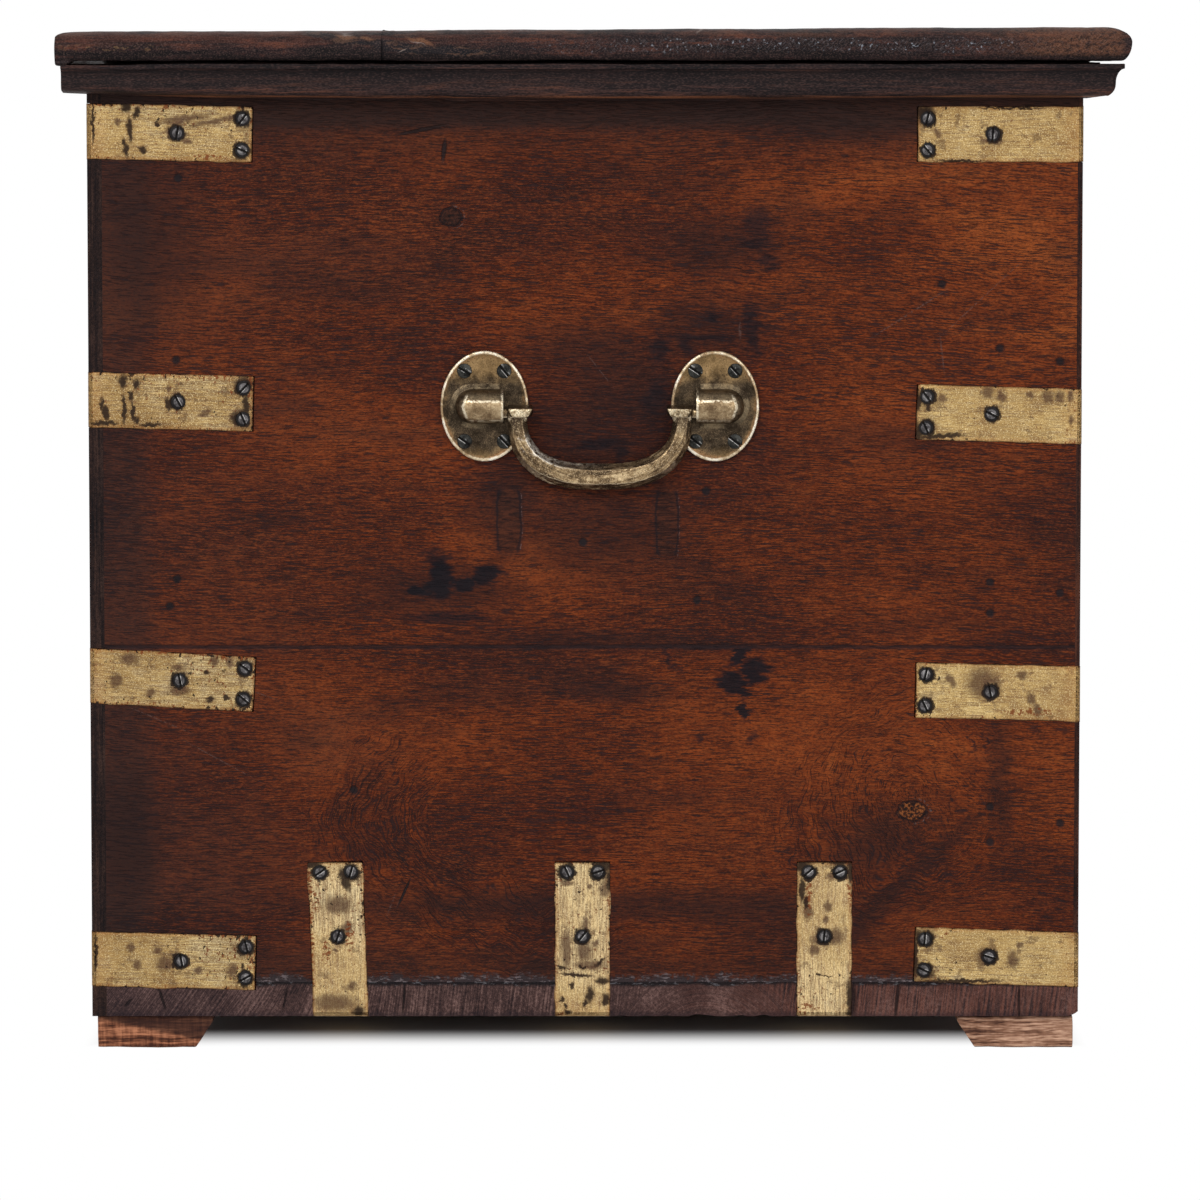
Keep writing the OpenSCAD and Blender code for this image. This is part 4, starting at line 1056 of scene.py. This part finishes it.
# The boss: half of a ball drawn out to a barrel, with the hole for the pin
boss = added("uv_sphere", segments=40, ring_count=20, radius=boss_r, location=(boss_out, 0, boss_up),
             rotation=(0, math.pi / 2, 0))
bpy.ops.mesh.bisect(plane_co=(boss_out - 0.00002, 0, 0), plane_no=(1, 0, 0), clear_inner=True)
bpy.ops.mesh.select_mode(type="EDGE")
bpy.ops.mesh.select_all(action="DESELECT")
bpy.ops.mesh.select_non_manifold(extend=False)
bpy.ops.mesh.extrude_region_move(TRANSFORM_OT_translate={"value": (-boss_out - boss_in, 0, 0)})
bpy.ops.mesh.edge_face_add()
bpy.ops.mesh.select_all(action="SELECT")
bpy.ops.mesh.bisect(plane_co=(0, 0, 0.001), plane_no=(0, 0, 1), clear_inner=True, use_fill=True)
edited()
bpy.ops.mesh.primitive_cylinder_add(vertices=32, radius=pin_r + 0.00012, depth=0.0144,
                                    location=(-boss_in + 0.0062, -pin_drop, pin_up), rotation=(0, math.pi / 2, 0))
cut_out(boss, bpy.context.object)
for part in (oval, boss):
    softened(part, 0.00035)
plate = joined([oval, pad, boss], "plate")
keep_places(plate, "cast")

# The bail: a bar that swells to the grip, welded to a flat shoulder and a pin at each end
line = bpy.data.curves.new("bail_line", "CURVE")
line.dimensions, line.bevel_depth, line.bevel_resolution, line.use_fill_caps = "3D", 0.001, 1, True
spline = line.splines.new("POLY")
line_steps, squareness = 72, 2 / 2.65  # the line is half of a squared oval
spline.points.add(line_steps)
for i, point in enumerate(spline.points):
    turn = math.pi * i / line_steps
    swell = abs(math.sin(turn)) ** squareness
    reach = math.copysign(abs(math.cos(turn)) ** squareness, math.cos(turn))
    point.co = (0.03794 * reach, -0.0290 * swell, 0, 1)
    point.radius = 4.2 + 2.0 * swell
bar = bpy.data.objects.new("bar", line)
bpy.context.scene.collection.objects.link(bar)
only(bar)
bpy.ops.object.convert(target="MESH")
bar = bpy.context.object
bar.scale = (1, 1, 0.82)
bpy.ops.object.transform_apply(location=True, rotation=True, scale=True)
parts, pins = [bar], []
for side in (-1, 1):
    bpy.ops.mesh.primitive_cylinder_add(vertices=40, radius=0.0036, depth=0.0088, location=(side * 0.0378, 0, 0),
                                        rotation=(0, math.pi / 2, 0))
    parts.append(bpy.context.object)
    bpy.ops.mesh.primitive_cube_add(size=1, location=(side * 0.0365, 0.0016, 0.0036), scale=(0.0118, 0.0052, 0.0076))
    lip = bpy.context.object
    for vertex in lip.data.vertices:
        if vertex.co.z > 0:
            vertex.co.x *= 1.0 if vertex.co.y > 0 else 0.62
            vertex.co.y -= 0.0017 if vertex.co.y > 0 else 0.0004
    worked(lip, "BEVEL", width=0.0005, segments=3)
    parts.append(lip)
    bpy.ops.mesh.primitive_cylinder_add(vertices=32, radius=pin_r, depth=0.0150, location=(side * 0.0497, 0, 0),
                                        rotation=(0, math.pi / 2, 0))
    pins.append(bpy.context.object)
    softened(pins[-1], 0.0004)
bail = joined(parts, "bail")
worked(bail, "REMESH", mode="VOXEL", voxel_size=0.00040)
worked(bail, "SMOOTH", factor=0.5, iterations=4)
dented(bail, 0.007, 0.0006, 0.55)
dented(bail, 0.0022, 0.00025, 0.5)
bail = joined([bail, *pins], "bail")
keep_places(bail, "cast")


def cast_brass(name):
    """The start of both cast finishes: the finish, its place on the pattern, and cloudy, fine and gritty noise."""
    finish = Finish(name, Metallic=1.0)
    at = finish.at
    return (finish, at, finish.kept("cast"), finish.noise(at, (120, 120, 120), 3, 0.6),
            finish.noise(at, (600, 600, 600), 4, 0.65, 5), finish.noise(at, (1500, 1500, 1500), 2, 0.6, 7))


def plate_brass():
    """Painted olive-brown sheen at the top, the foot and the sides, nearly black painted shade round and under the
    boss, and a rubbed rim and boss edges with painted highlights.
    """
    finish, at, cast, cloud, fine, grit = cast_brass("plate_brass")
    x, y, z = finish.axes(cast)
    out = finish.length(finish.vector("MULTIPLY", cast, (1 / half_w, 1 / half_h, 0)))
    # Painted sheen: the olive tone on the top, the foot and the sides; the dark ramp beneath it is painted shade.
    up = (y + (cloud - 0.5) * 0.012).step(0.0085, 0.0175)
    down = (y + (cloud - 0.5) * 0.010).step(-0.0185, -0.0245)
    side = (out + (cloud - 0.5) * 0.5).step(0.80, 1.02)
    finish.colour = finish.ramp((fine * 0.5 + cloud * 0.5).scale(0.4, 0.6), (0, (0.024, 0.017, 0.011)),
                                (0.5, (0.048, 0.034, 0.022)), (1, (0.092, 0.063, 0.037)))
    olive_sheen = finish.ramp((cloud * 0.6 + fine * 0.4).scale(0.4, 0.6), (0, (0.130, 0.080, 0.035)),
                        (1, (0.30, 0.190, 0.086)))
    finish.paint(up.or_else(down * 0.7).or_else(side * 0.6), olive_sheen)
    rust = (out + (fine - 0.5) * 0.2).step(0.84, 0.95) * cloud.step(0.46, 0.56)
    finish.paint(rust * 0.6, (0.20, 0.095, 0.040))
    # The bright rim: rubbed brass with a painted highlight.
    finish.paint((out + (fine - 0.5) * 0.03).step(0.935, 0.962),
                 finish.ramp(cloud.scale(0.4, 0.6), (0, (0.34, 0.23, 0.13)), (0.5, (0.66, 0.54, 0.37)),
                             (1, (0.88, 0.80, 0.66))))
    boss = z.step(0.0034, 0.0042)
    # The boss: dark painted reflection on its upper side, a lighter front face and painted highlights along its
    # edges.
    dull = finish.ramp((fine * 0.5 + cloud * 0.5).scale(0.4, 0.6), (0, (0.050, 0.036, 0.023)),
                       (1, (0.17, 0.125, 0.075)))
    face = finish.ramp((fine * 0.45 + cloud * 0.55).scale(0.38, 0.6), (0, (0.13, 0.082, 0.045)),
                       (0.5, (0.26, 0.178, 0.098)), (1, (0.46, 0.345, 0.205)))
    front = (y + (cloud - 0.5) * 0.001).step(0.0034, 0.0026) * (x + y.size() * 0.35).step(0.0105, 0.0090)
    dull = finish.blend(front, dull, face)
    ridge = (y - 0.0026 + (cloud - 0.5) * 0.001).size().step(0.0008, 0.0002) * x.step(0.0088, 0.0070)
    heel = (y + 0.0066).size().step(0.0008, 0.0003) * x.step(0.0080, 0.0055)
    toe = (x + y.size() * 0.35 - 0.0098).size().step(0.0009, 0.0003) * y.size().step(0.0060, 0.0045)
    cheek = x.step(-0.0074, -0.0082)
    shine = ridge.or_else(heel).or_else(toe).or_else(cheek) * fine.step(0.38, 0.55)
    dull = finish.blend(shine * 0.85, dull, (0.80, 0.70, 0.52))
    finish.paint(boss, dull)
    foot = (z - 0.0031).size().step(0.0008, 0.0002) * cloud.step(0.40, 0.60)
    finish.paint(foot * 0.2, (0.36, 0.28, 0.17))
    pit = (grit + (fine - 0.5) * 0.5).step(0.57, 0.68)
    finish.paint(pit * 0.6, (0.030, 0.018, 0.012))
    gleam = (finish.noise(at, (2300, 2300, 2300), 1, 0.5, 63) + (cloud - 0.5) * 0.3).step(0.57, 0.67)
    finish.paint(gleam * 0.16, (0.52, 0.38, 0.22))
    finish.set(0.30 + fine * 0.2, fine + cloud - pit * 0.5, 0.00015)
    return finish


def bail_brass():
    """Brown-gold, streaked along the bar, dark at the shoulders, with painted shade where it faces up, down or
    sideways, painted highlights on the lips, arms and rims, and dark pits.
    """
    finish, at, cast, cloud, fine, grit = cast_brass("bail_brass")
    x, y, z = finish.axes(cast)
    along = finish.join(X=x.math("ARCTAN2", x, y) * 0.035, Y=finish.length(finish.join(X=x * 0.8, Y=y)), Z=z)
    streak = finish.noise(along, (45, 800, 800), 3, 0.65, 6)
    tone = (cloud * 0.26 + streak * 0.36 + fine * 0.20 + grit * 0.18).scale(0.42, 0.58)
    dark = finish.ramp(tone, (0, (0.022, 0.016, 0.012)), (1, (0.12, 0.085, 0.055)))
    bright = finish.ramp(tone, (0, (0.050, 0.031, 0.017)), (0.35, (0.135, 0.087, 0.046)),
                         (0.65, (0.27, 0.183, 0.094)), (1, (0.60, 0.45, 0.26)))
    nx, _, nz = finish.axes(finish.node("NewGeometry", {}, {}, "Normal"))
    # Painted light and shade: bright where the faces look along X, dark where they look up, down or sideways.
    facing = (nx.size() + (cloud - 0.5) * 0.4).step(0.20, 0.75)
    finish.colour = finish.blend(facing, dark, bright)
    neck = (y + (fine - 0.5) * 0.004).step(-0.0120, -0.0050) * y.step(0.0008, -0.0012)
    finish.paint(neck * 0.70, (0.045, 0.031, 0.022))
    # A painted reflection on the front faces of the shoulder lips.
    lip = y.step(-0.0022, -0.0012) * z.step(0.0058, 0.0068)
    finish.paint(lip, finish.ramp(fine, (0.40, (0.12, 0.085, 0.050)), (0.5, (0.36, 0.27, 0.16)),
                                  (0.62, (0.80, 0.70, 0.50))))
    # A painted highlight on the inner sides of the arms.
    inner = y.step(-0.007, -0.013) * y.step(-0.027, -0.020) * nz.step(0.05, 0.35) * nx.size().step(0.3, 0.6)
    finish.paint(inner * fine.step(0.36, 0.55) * x.step(-0.01, 0.02) * 0.85, (0.80, 0.76, 0.68))
    # A painted highlight along the lower rims.
    rim = (nz + 0.62 + (streak - 0.5) * 0.3).size().step(0.16, 0.05) * nx.size().step(0.30, 0.5)
    finish.paint(rim * 0.6, (0.72, 0.60, 0.42))
    pit = (grit + (fine - 0.5) * 0.6).step(0.56, 0.66)
    finish.paint(pit * 0.65, (0.030, 0.018, 0.012))
    gleam = (finish.noise(at, (2300, 2300, 2300), 1, 0.5, 63) + (fine - 0.5) * 0.3).step(0.56, 0.66)
    finish.paint(gleam * 0.4, (0.78, 0.60, 0.38))
    finish.set(0.27 + fine * 0.22, fine + cloud + streak, 0.00018)
    return finish


def set_out(pattern, name, place):
    """A copy of a pattern with every point moved to its place on the chest."""
    piece = duplicate(pattern, name)
    for vertex in piece.data.vertices:
        vertex.co = place(*vertex.co)
    outward(piece)
    return piece


plate_finish = plate_brass()
bail_finish = bail_brass()
for end, sx in (("left", -1), ("right", 1)):
    for side, sy in (("front", -1), ("back", 1)):
        oval_plate = set_out(plate, f"oval_plate_{end}_{side}", lambda x, y, z: (
            sx * (end_x + z), handle_y + sy * (plate_pitch + x), handle_z + y))
        fitted(oval_plate, plate_finish, "case", "handle_brass", f"handle_plate_{end}_{side}")
    hanging = set_out(bail, f"cast_bail_{end}", lambda x, y, z: (
        sx * (end_x + pin_up + z), handle_y + x, handle_z - pin_drop + y))
    fitted(hanging, bail_finish, f"{end}_bail", "handle_brass", f"{end}_bail")
for pattern in (plate, bail):
    bpy.data.objects.remove(pattern)


# ---- Lid
# Two thick boards with the grain along the length, planed thinner towards the back, rounded at their edges and gone
# nearly black. The left end is gouged near the back, and the edges are rubbed through to orange wood.

# The underside and the top along Z, half the depth, and the joint between the boards along Y
lid_low, lid_high, lid_half, lid_joint = 0.4535, 0.4715, 0.2455, 0.0965
gouges = ((330, 37, 26, 4, 0.15), (365, 41, 30, 6, 0.2), (400, 47, 34, 6, 0.1), (455, 50, 40, 4, 0.05))
bare_spots = ((348, 36, 10, 2.5, 0.2), (368, 39, 7, 2.5, 0.2), (420, 40, 12, 2, 0.3))
chipped = ((348, 33, 5, 0.9, 0.2), (418, 42, 7, 0.5, 0.35), (404, 51, 5, 0.5, -0.6), (700, 31, 4, 1.0, -0.7))


def lid_teak():
    """Teak gone nearly black, hatched with pale scratches at its ends, and torn and chipped at the left end."""
    finish = Finish("lid_teak", **bare_wood)
    at = finish.at
    tone, pores, fleck = teak(finish, at, 0, 40)
    x, y, z = finish.axes(at)
    end = x.size().step(0.456, 0.466)
    cut = finish.noise(at, (20, 26, 480), 4, 0.65)
    patch = finish.noise(at, (30, 22, 130), 4, 0.65, 3)
    fine = finish.noise(at, (500, 420, 900), 3, 0.6, 2)
    shade = tone.scale(0.38, 0.62).toward((cut * 0.40 + patch * 0.36 + fine * 0.24).scale(0.41, 0.61), end)
    front = (y + (patch - 0.5) * 0.1).step(-0.10, -0.22)
    low_dark = (z + (patch - 0.5) * 0.004).step(0.4640, 0.4590)
    shade = shade + front * 0.14 - low_dark * 0.14 - end * 0.15
    finish.colour = finish.ramp(shade, (0, (0.0085, 0.0065, 0.0070)), (0.35, (0.019, 0.0120, 0.0125)),
                                (0.62, (0.042, 0.0190, 0.0165)), (0.85, (0.090, 0.033, 0.021)),
                                (1.0, (0.18, 0.066, 0.034)))
    back_red = y.step(0.0, 0.10) * (z + (patch - 0.5) * 0.010).step(0.4625, 0.4665) * cut.step(0.40, 0.58)
    finish.paint(back_red * 0.36, (0.120, 0.038, 0.022))
    tan = (y + (patch - 0.5) * 0.06).step(-0.170, -0.215) * y.step(-0.2435, -0.2380) * z.step(0.4580, 0.4610)
    finish.paint(tan * fine.scale(0.40, 0.60, 0.1, 0.75), (0.125, 0.050, 0.026))
    hatch = finish.noise(finish.join(X=y + z, Y=y - z), (2200, 220, 1), 2, 0.5, 4)
    hatch = hatch.or_else(finish.noise(finish.join(X=y - z, Y=y + z), (2200, 220, 1), 2, 0.5, 6) - 0.03)
    hatch = hatch.step(0.55, 0.64)
    finish.paint(tan * hatch * 0.5, (0.210, 0.105, 0.065))
    band = (z - 0.4640 + (patch - 0.5) * 0.006).size().step(0.0042, 0.0015) * end
    zone = y.step(0.06, -0.06) * y.step(-0.215, -0.17)
    finish.paint(hatch * band * zone * 0.55, (0.13, 0.110, 0.115))
    spot = finish.noise(at, (700, 700, 700), 2, 0.5, 14).step(0.63, 0.69) * band * zone
    finish.paint(spot * 0.8, (0.26, 0.28, 0.32))
    speck = finish.noise(at, (600, 400, 900), 3, 0.6, 24).step(0.56, 0.64)
    speck = speck * y.step(0.19, 0.21) * (z - 0.4625).size().step(0.0022, 0.0008)
    finish.paint(speck * 0.6, (0.16, 0.092, 0.045))
    rub = finish.noise(at, (40, 40, 200), 4, 0.7, 7)
    top_edge = (z + (rub - 0.5) * 0.004).step(0.4672, 0.4692)
    rubbed = end.or_else((y.size() + (rub - 0.5) * 0.02).step(0.224, 0.238)) * top_edge
    finish.paint(rubbed * rub.step(0.45, 0.60) * 0.5, (0.115, 0.050, 0.032))
    rough = shaken(finish, at, 90, 0.003)
    gouge = end * marks(finish, rough, gouges, 0.3)
    finish.paint(gouge * 0.8, (0.0125, 0.0120, 0.0140))
    torn = finish.noise(rough, (60, 130, 520), 3, 0.6, 12)
    finish.paint(gouge * torn.step(0.52, 0.60) * 0.55, (0.115, 0.060, 0.038))
    finish.paint(end * marks(finish, rough, bare_spots, 0.5) * 0.6, (0.23, 0.105, 0.055))
    chip = end * marks(finish, rough, chipped, 0.6)
    finish.paint(chip * 0.5, (0.34, 0.27, 0.24))
    seam = (z - 0.4562 + (rub - 0.5) * 0.0006).size().step(0.0007, 0.0002) * z.step(0.4720, 0.4580) * end
    finish.paint(seam * 0.35, (0.075, 0.060, 0.062))
    dot = finish.noise(at, (1500, 1300, 2300), 1, 0.5, 61)
    finish.paint(dot.step(0.54, 0.66) * 0.35, (0.130, 0.080, 0.068))
    finish.paint(dot.step(0.46, 0.36) * 0.5, (0.005, 0.004, 0.005))
    crack = (y - lid_joint + (rub - 0.5) * 0.004).size().step(0.0007, 0.0002) * z.step(0.4662, 0.4645) * end
    finish.paint(crack * 0.8, (0.006, 0.005, 0.006))
    finish.set(0.40 + fleck * 0.25, cut + fine * 0.8 + fleck * 0.4 - pores * 0.3 + hatch * band * zone * 0.5 - crack,
               0.0004)
    return finish


def ease(value, low, high):
    """0 below low and 1 above high."""
    share = max(0.0, min(1.0, (value - low) / (high - low)))
    return share * share * (3 - 2 * share)


def lid_rise(x, y):
    """How far the lid's underside is worn up: all along the front and the ends, and over the back corners."""
    outside = max(ease(abs(x), 0.455, 0.461), ease(-y, 0.2235, 0.229))
    back_corner = ease(y, 0.195, 0.212) * ease(abs(x), 0.33, 0.38)
    return 0.0030 * max(outside, back_corner) * (1 - 0.8 * ease(y, 0.2375, 0.2400))


lid_wood = lid_teak()
for node in ("lid_back_board", "lid_front_board"):
    board = blank(node.replace("lid", "worn_lid"), node)
    low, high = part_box(node)
    softened(board, 0.0006)
    sliced(board, 0, between(low.x, -0.46, 0.004) + between(-0.46, 0.46, 0.010) + between(0.46, high.x, 0.004))
    sliced(board, 1, between(low.y, high.y, 0.0025))
    for vertex in board.data.vertices:
        x, y, z = vertex.co
        up = (z - lid_low) / (lid_high - lid_low)
        vertex.co.z += up * (0.0012 - 0.0024 * (y + lid_half) / (2 * lid_half)) + (1 - up) * lid_rise(x, y)
        if x < -0.455 and up > 0.25:
            hollow = math.exp(-((y - 0.090) / 0.036) ** 4)
            ripple = 0.55 + 0.25 * math.sin(y * 380 + 2 * math.sin(y * 830)) + 0.2 * math.sin(y * 1500)
            vertex.co.x += 0.0034 * hollow * ripple * up
            vertex.co.z -= 0.00045 * hollow * ripple * up + 0.0011 * up * math.exp(-((y - 0.1135) / 0.003) ** 2)
    dented(board, 0.045, 0.0010, 0.8)
    dented(board, 0.008, 0.0004, 0.8)
    for vertex in board.data.vertices:
        if abs(vertex.co.y - lid_joint) < 0.0013:
            vertex.co.y = lid_joint + (0.00003 if node == "lid_back_board" else -0.00003)
    fitted(board, lid_wood, "lid", "dark_teak", node)


# ---- Mouldings
# One moulding runs along the front and one along each end under the lid, mitred at the front corners. They are as
# dark as the lid, bowed a little with age, chipped, and rubbed to orange along their lower edges, where a painted
# highlight runs too.

def moulding_teak(name, run):
    """The lid's dark teak with the grain along axis run, black in its hollow and rubbed to orange below, with a
    painted highlight on that orange line.
    """
    finish = Finish(name, IOR=1.45, Specular_IOR_Level=0.12)
    at = finish.at
    tone, pores, fleck = teak(finish, at, run, 50)
    _, y, z = finish.axes(at)
    rub = finish.noise(at, grain(run, 16, 520), 4, 0.7, 7)
    patch = finish.noise(at, grain(run, 14, 150), 3, 0.6, 9)
    low_tone = (z + (patch - 0.5) * 0.004).step(0.4500, 0.4475)
    thread = finish.noise(at, grain(run, 90, 2100), 3, 0.65, 19)
    shade = (rub * 0.32 + patch * 0.20 + thread * 0.36 + tone * 0.12).scale(0.425, 0.575)
    finish.colour = finish.ramp(shade * 0.8 + low_tone * 0.18 - 0.04, (0, (0.0045, 0.0038, 0.0045)),
                                (0.4, (0.0150, 0.0095, 0.0102)), (0.7, (0.042, 0.0205, 0.0180)),
                                (1.0, (0.115, 0.044, 0.026)))
    cove = (z + (patch - 0.5) * 0.002).step(0.4440, 0.4462) * (z + (patch - 0.5) * 0.001).step(0.4525, 0.4512)
    finish.paint(cove * 0.6, (0.0105, 0.0070, 0.0075))
    # An orange line along the lower edge: rubbed wood with a painted highlight.
    line = (z - 0.4402 - y.size() * 0.002 + (patch - 0.5) * 0.0012).size().step(0.0007, 0.0002)
    finish.paint(line * rub.step(0.40, 0.54) * 0.85, (0.21, 0.075, 0.032))
    speck = finish.noise(at, grain(run, 700, 2300), 1, 0.5, 23)
    finish.paint(speck.step(0.53, 0.65) * 0.35, (0.085, 0.048, 0.042))
    finish.paint(speck.step(0.46, 0.36) * 0.5, (0.004, 0.0035, 0.004))
    groove = (z - 0.4518 + (patch - 0.5) * 0.0010).size().step(0.0006, 0.0002)
    finish.paint(groove * 0.6, (0.006, 0.005, 0.006))
    finish.set(0.42 + fleck * 0.25, fleck * 0.5 + rub + thread - pores * 0.5, 0.0004)
    return finish


moulding_woods = {"left": moulding_teak("end_moulding_teak", 1), "front": moulding_teak("front_moulding_teak", 0)}
for name in ("left", "right", "front"):
    strip = blank(f"worn_moulding_{name}", f"moulding_{name}")
    low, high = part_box(f"moulding_{name}")
    softened(strip, 0.0004)
    run = 0 if name == "front" else 1
    sliced(strip, run, between(low[run], high[run], 0.004 if run else 0.008))
    sliced(strip, 2, between(low.z, high.z, 0.0025))
    for vertex in strip.data.vertices:
        x, y, z = vertex.co
        down = (high.z - z) / (high.z - low.z)
        if run:
            back = max(0.0, (y - 0.10) / 0.143)
            bow = math.cos(math.pi * max(-1, min(1, (y - 0.02) / 0.24)) / 2)
            vertex.co.z += down * (0.0026 * back ** 1.6 - 0.0011 * bow)
        vertex.co.z += (1 - down) * (0.0029 - 0.0007 * ease(y, 0.190, 0.212))
        if name == "left":
            vertex.co.z += down * 0.0012 * math.exp(-((y - 0.0715) / 0.0035) ** 2)
    dented(strip, 0.03, 0.0008, 0.8)
    dented(strip, 0.006, 0.0004, 0.8)
    fitted(strip, moulding_woods["front" if name == "front" else "left"], "lid", "dark_teak", f"moulding_{name}")


# ---- Hinges and lock
# Two brass butt hinges are screwed on at the back. The lock has an iron body let into the inner face of the front, a
# brass link plate with two loops under the lid, and a brass keyhole plate. They keep the forms of the CAD model.

def plain_brass(name):
    """Dull, unmarked brass."""
    finish = Finish(name, Metallic=1.0)
    cloud = finish.noise(finish.at, (90, 90, 90), 4, 0.6)
    fine = finish.noise(finish.at, (700, 700, 700), 3, 0.6, 5)
    finish.colour = finish.ramp((cloud * 0.6 + fine * 0.4).scale(0.38, 0.62), (0, (0.07, 0.045, 0.028)),
                                (0.5, (0.27, 0.19, 0.10)), (1, (0.50, 0.38, 0.20)))
    finish.set(0.33 + fine * 0.25, fine + cloud, 0.00015)
    return finish


hinge = plain_brass("hinge_brass")
for end in ("left", "right"):
    hinge.cover(f"hinge_case_leaf_{end}", f"hinge_lid_leaf_{end}", f"hinge_pin_{end}")
hinge.cover("keyhole_plate", "lock_link_plate")
iron = Finish("lock_iron", Metallic=1.0)
iron_cloud = iron.noise(iron.at, (300, 300, 300), 4)
iron.colour = iron.ramp(iron_cloud.scale(0.38, 0.62), (0, (0.04, 0.035, 0.03)), (1, (0.2, 0.19, 0.18)))
iron.set(0.4 + iron_cloud * 0.3, iron_cloud, 0.0002)
iron.cover("lock_case", "lock_bolt")


# ---- Floor, light and camera
# A plain white floor that keeps the shadow under the chest, white all round, two soft lamps, and a camera three
# metres from the left end, as high as the gap under the lid, which it sees light through.

bpy.ops.mesh.primitive_plane_add(size=14)
floor = bpy.context.object
floor.name = "floor"
white = Finish("floor_white", Base_Color=(0.9, 0.9, 0.9, 1), Roughness=0.9, Specular_IOR_Level=0.0)
path = white.node("LightPath")
background = path
for ray in ("Is Glossy Ray", "Is Transmission Ray"):
    background = background.or_else(Value(white, path.socket.node.outputs[ray]))
axes = white.node("SeparateXYZ", {}, {0: white.at}, "X")
beside = (Value(white, axes.socket.node.outputs["Y"]) - case_y).size()
open_floor = axes.size().step(0.394, 0.455).or_else(beside.step(0.205, 0.235))
glow = white.node("Emission", {}, {"Color": (1, 1, 1), "Strength": 1.0})
mixed = white.node("MixShader", {}, {0: background * open_floor, 1: Value(white, white.shader.outputs[0]), 2: glow})
white.material.node_tree.links.new(mixed.socket, white.material.node_tree.nodes["Material Output"].inputs[0])
floor.data.materials.append(white.material)

world = bpy.data.worlds.new("studio")
bpy.context.scene.world = world
world.use_nodes = True
tree = world.node_tree
backing = tree.nodes["Background"]
rays = tree.nodes.new("ShaderNodeLightPath")
share = None
for ray in ("Is Camera Ray", "Is Glossy Ray", "Is Transmission Ray"):
    if share is None:
        share = rays.outputs[ray]
    else:
        most = tree.nodes.new("ShaderNodeMath")
        most.operation = "MAXIMUM"
        tree.links.new(share, most.inputs[0])
        tree.links.new(rays.outputs[ray], most.inputs[1])
        share = most.outputs[0]
level = tree.nodes.new("ShaderNodeMapRange")
level.inputs[3].default_value = 0.55
tree.links.new(share, level.inputs[0])
tree.links.new(level.outputs[0], backing.inputs["Strength"])
backing.inputs["Color"].default_value = (1, 1, 1, 1)

for name, place, power in (("key_lamp", (-3.2, 1.6, 2.4), 62), ("fill_lamp", (-2.9, -1.9, 1.3), 26)):
    lamp = bpy.data.lights.new(name, "AREA")
    lamp.shape, lamp.size, lamp.size_y, lamp.energy = "RECTANGLE", 1.8, 1.8, power
    lamp_object = bpy.data.objects.new(name, lamp)
    bpy.context.scene.collection.objects.link(lamp_object)
    lamp_object.location = place
    lamp_object.rotation_euler = (Vector((-0.3, 0, 0.25)) - Vector(place)).to_track_quat("-Z", "Y").to_euler()

camera_data = bpy.data.cameras.new("camera")
camera_data.sensor_width = 36
camera_data.lens = eye_focus * camera_data.sensor_width / view_size
camera_data.clip_start, camera_data.clip_end = 0.01, 100
camera = bpy.data.objects.new("camera", camera_data)
bpy.context.scene.collection.objects.link(camera)
camera.location = (-end_x - eye_far, eye_y, eye_z)
camera.rotation_euler = (math.pi / 2 - eye_tilt, 0, -math.pi / 2)
bpy.context.scene.camera = camera
bpy.context.scene.view_settings.view_transform = "Standard"
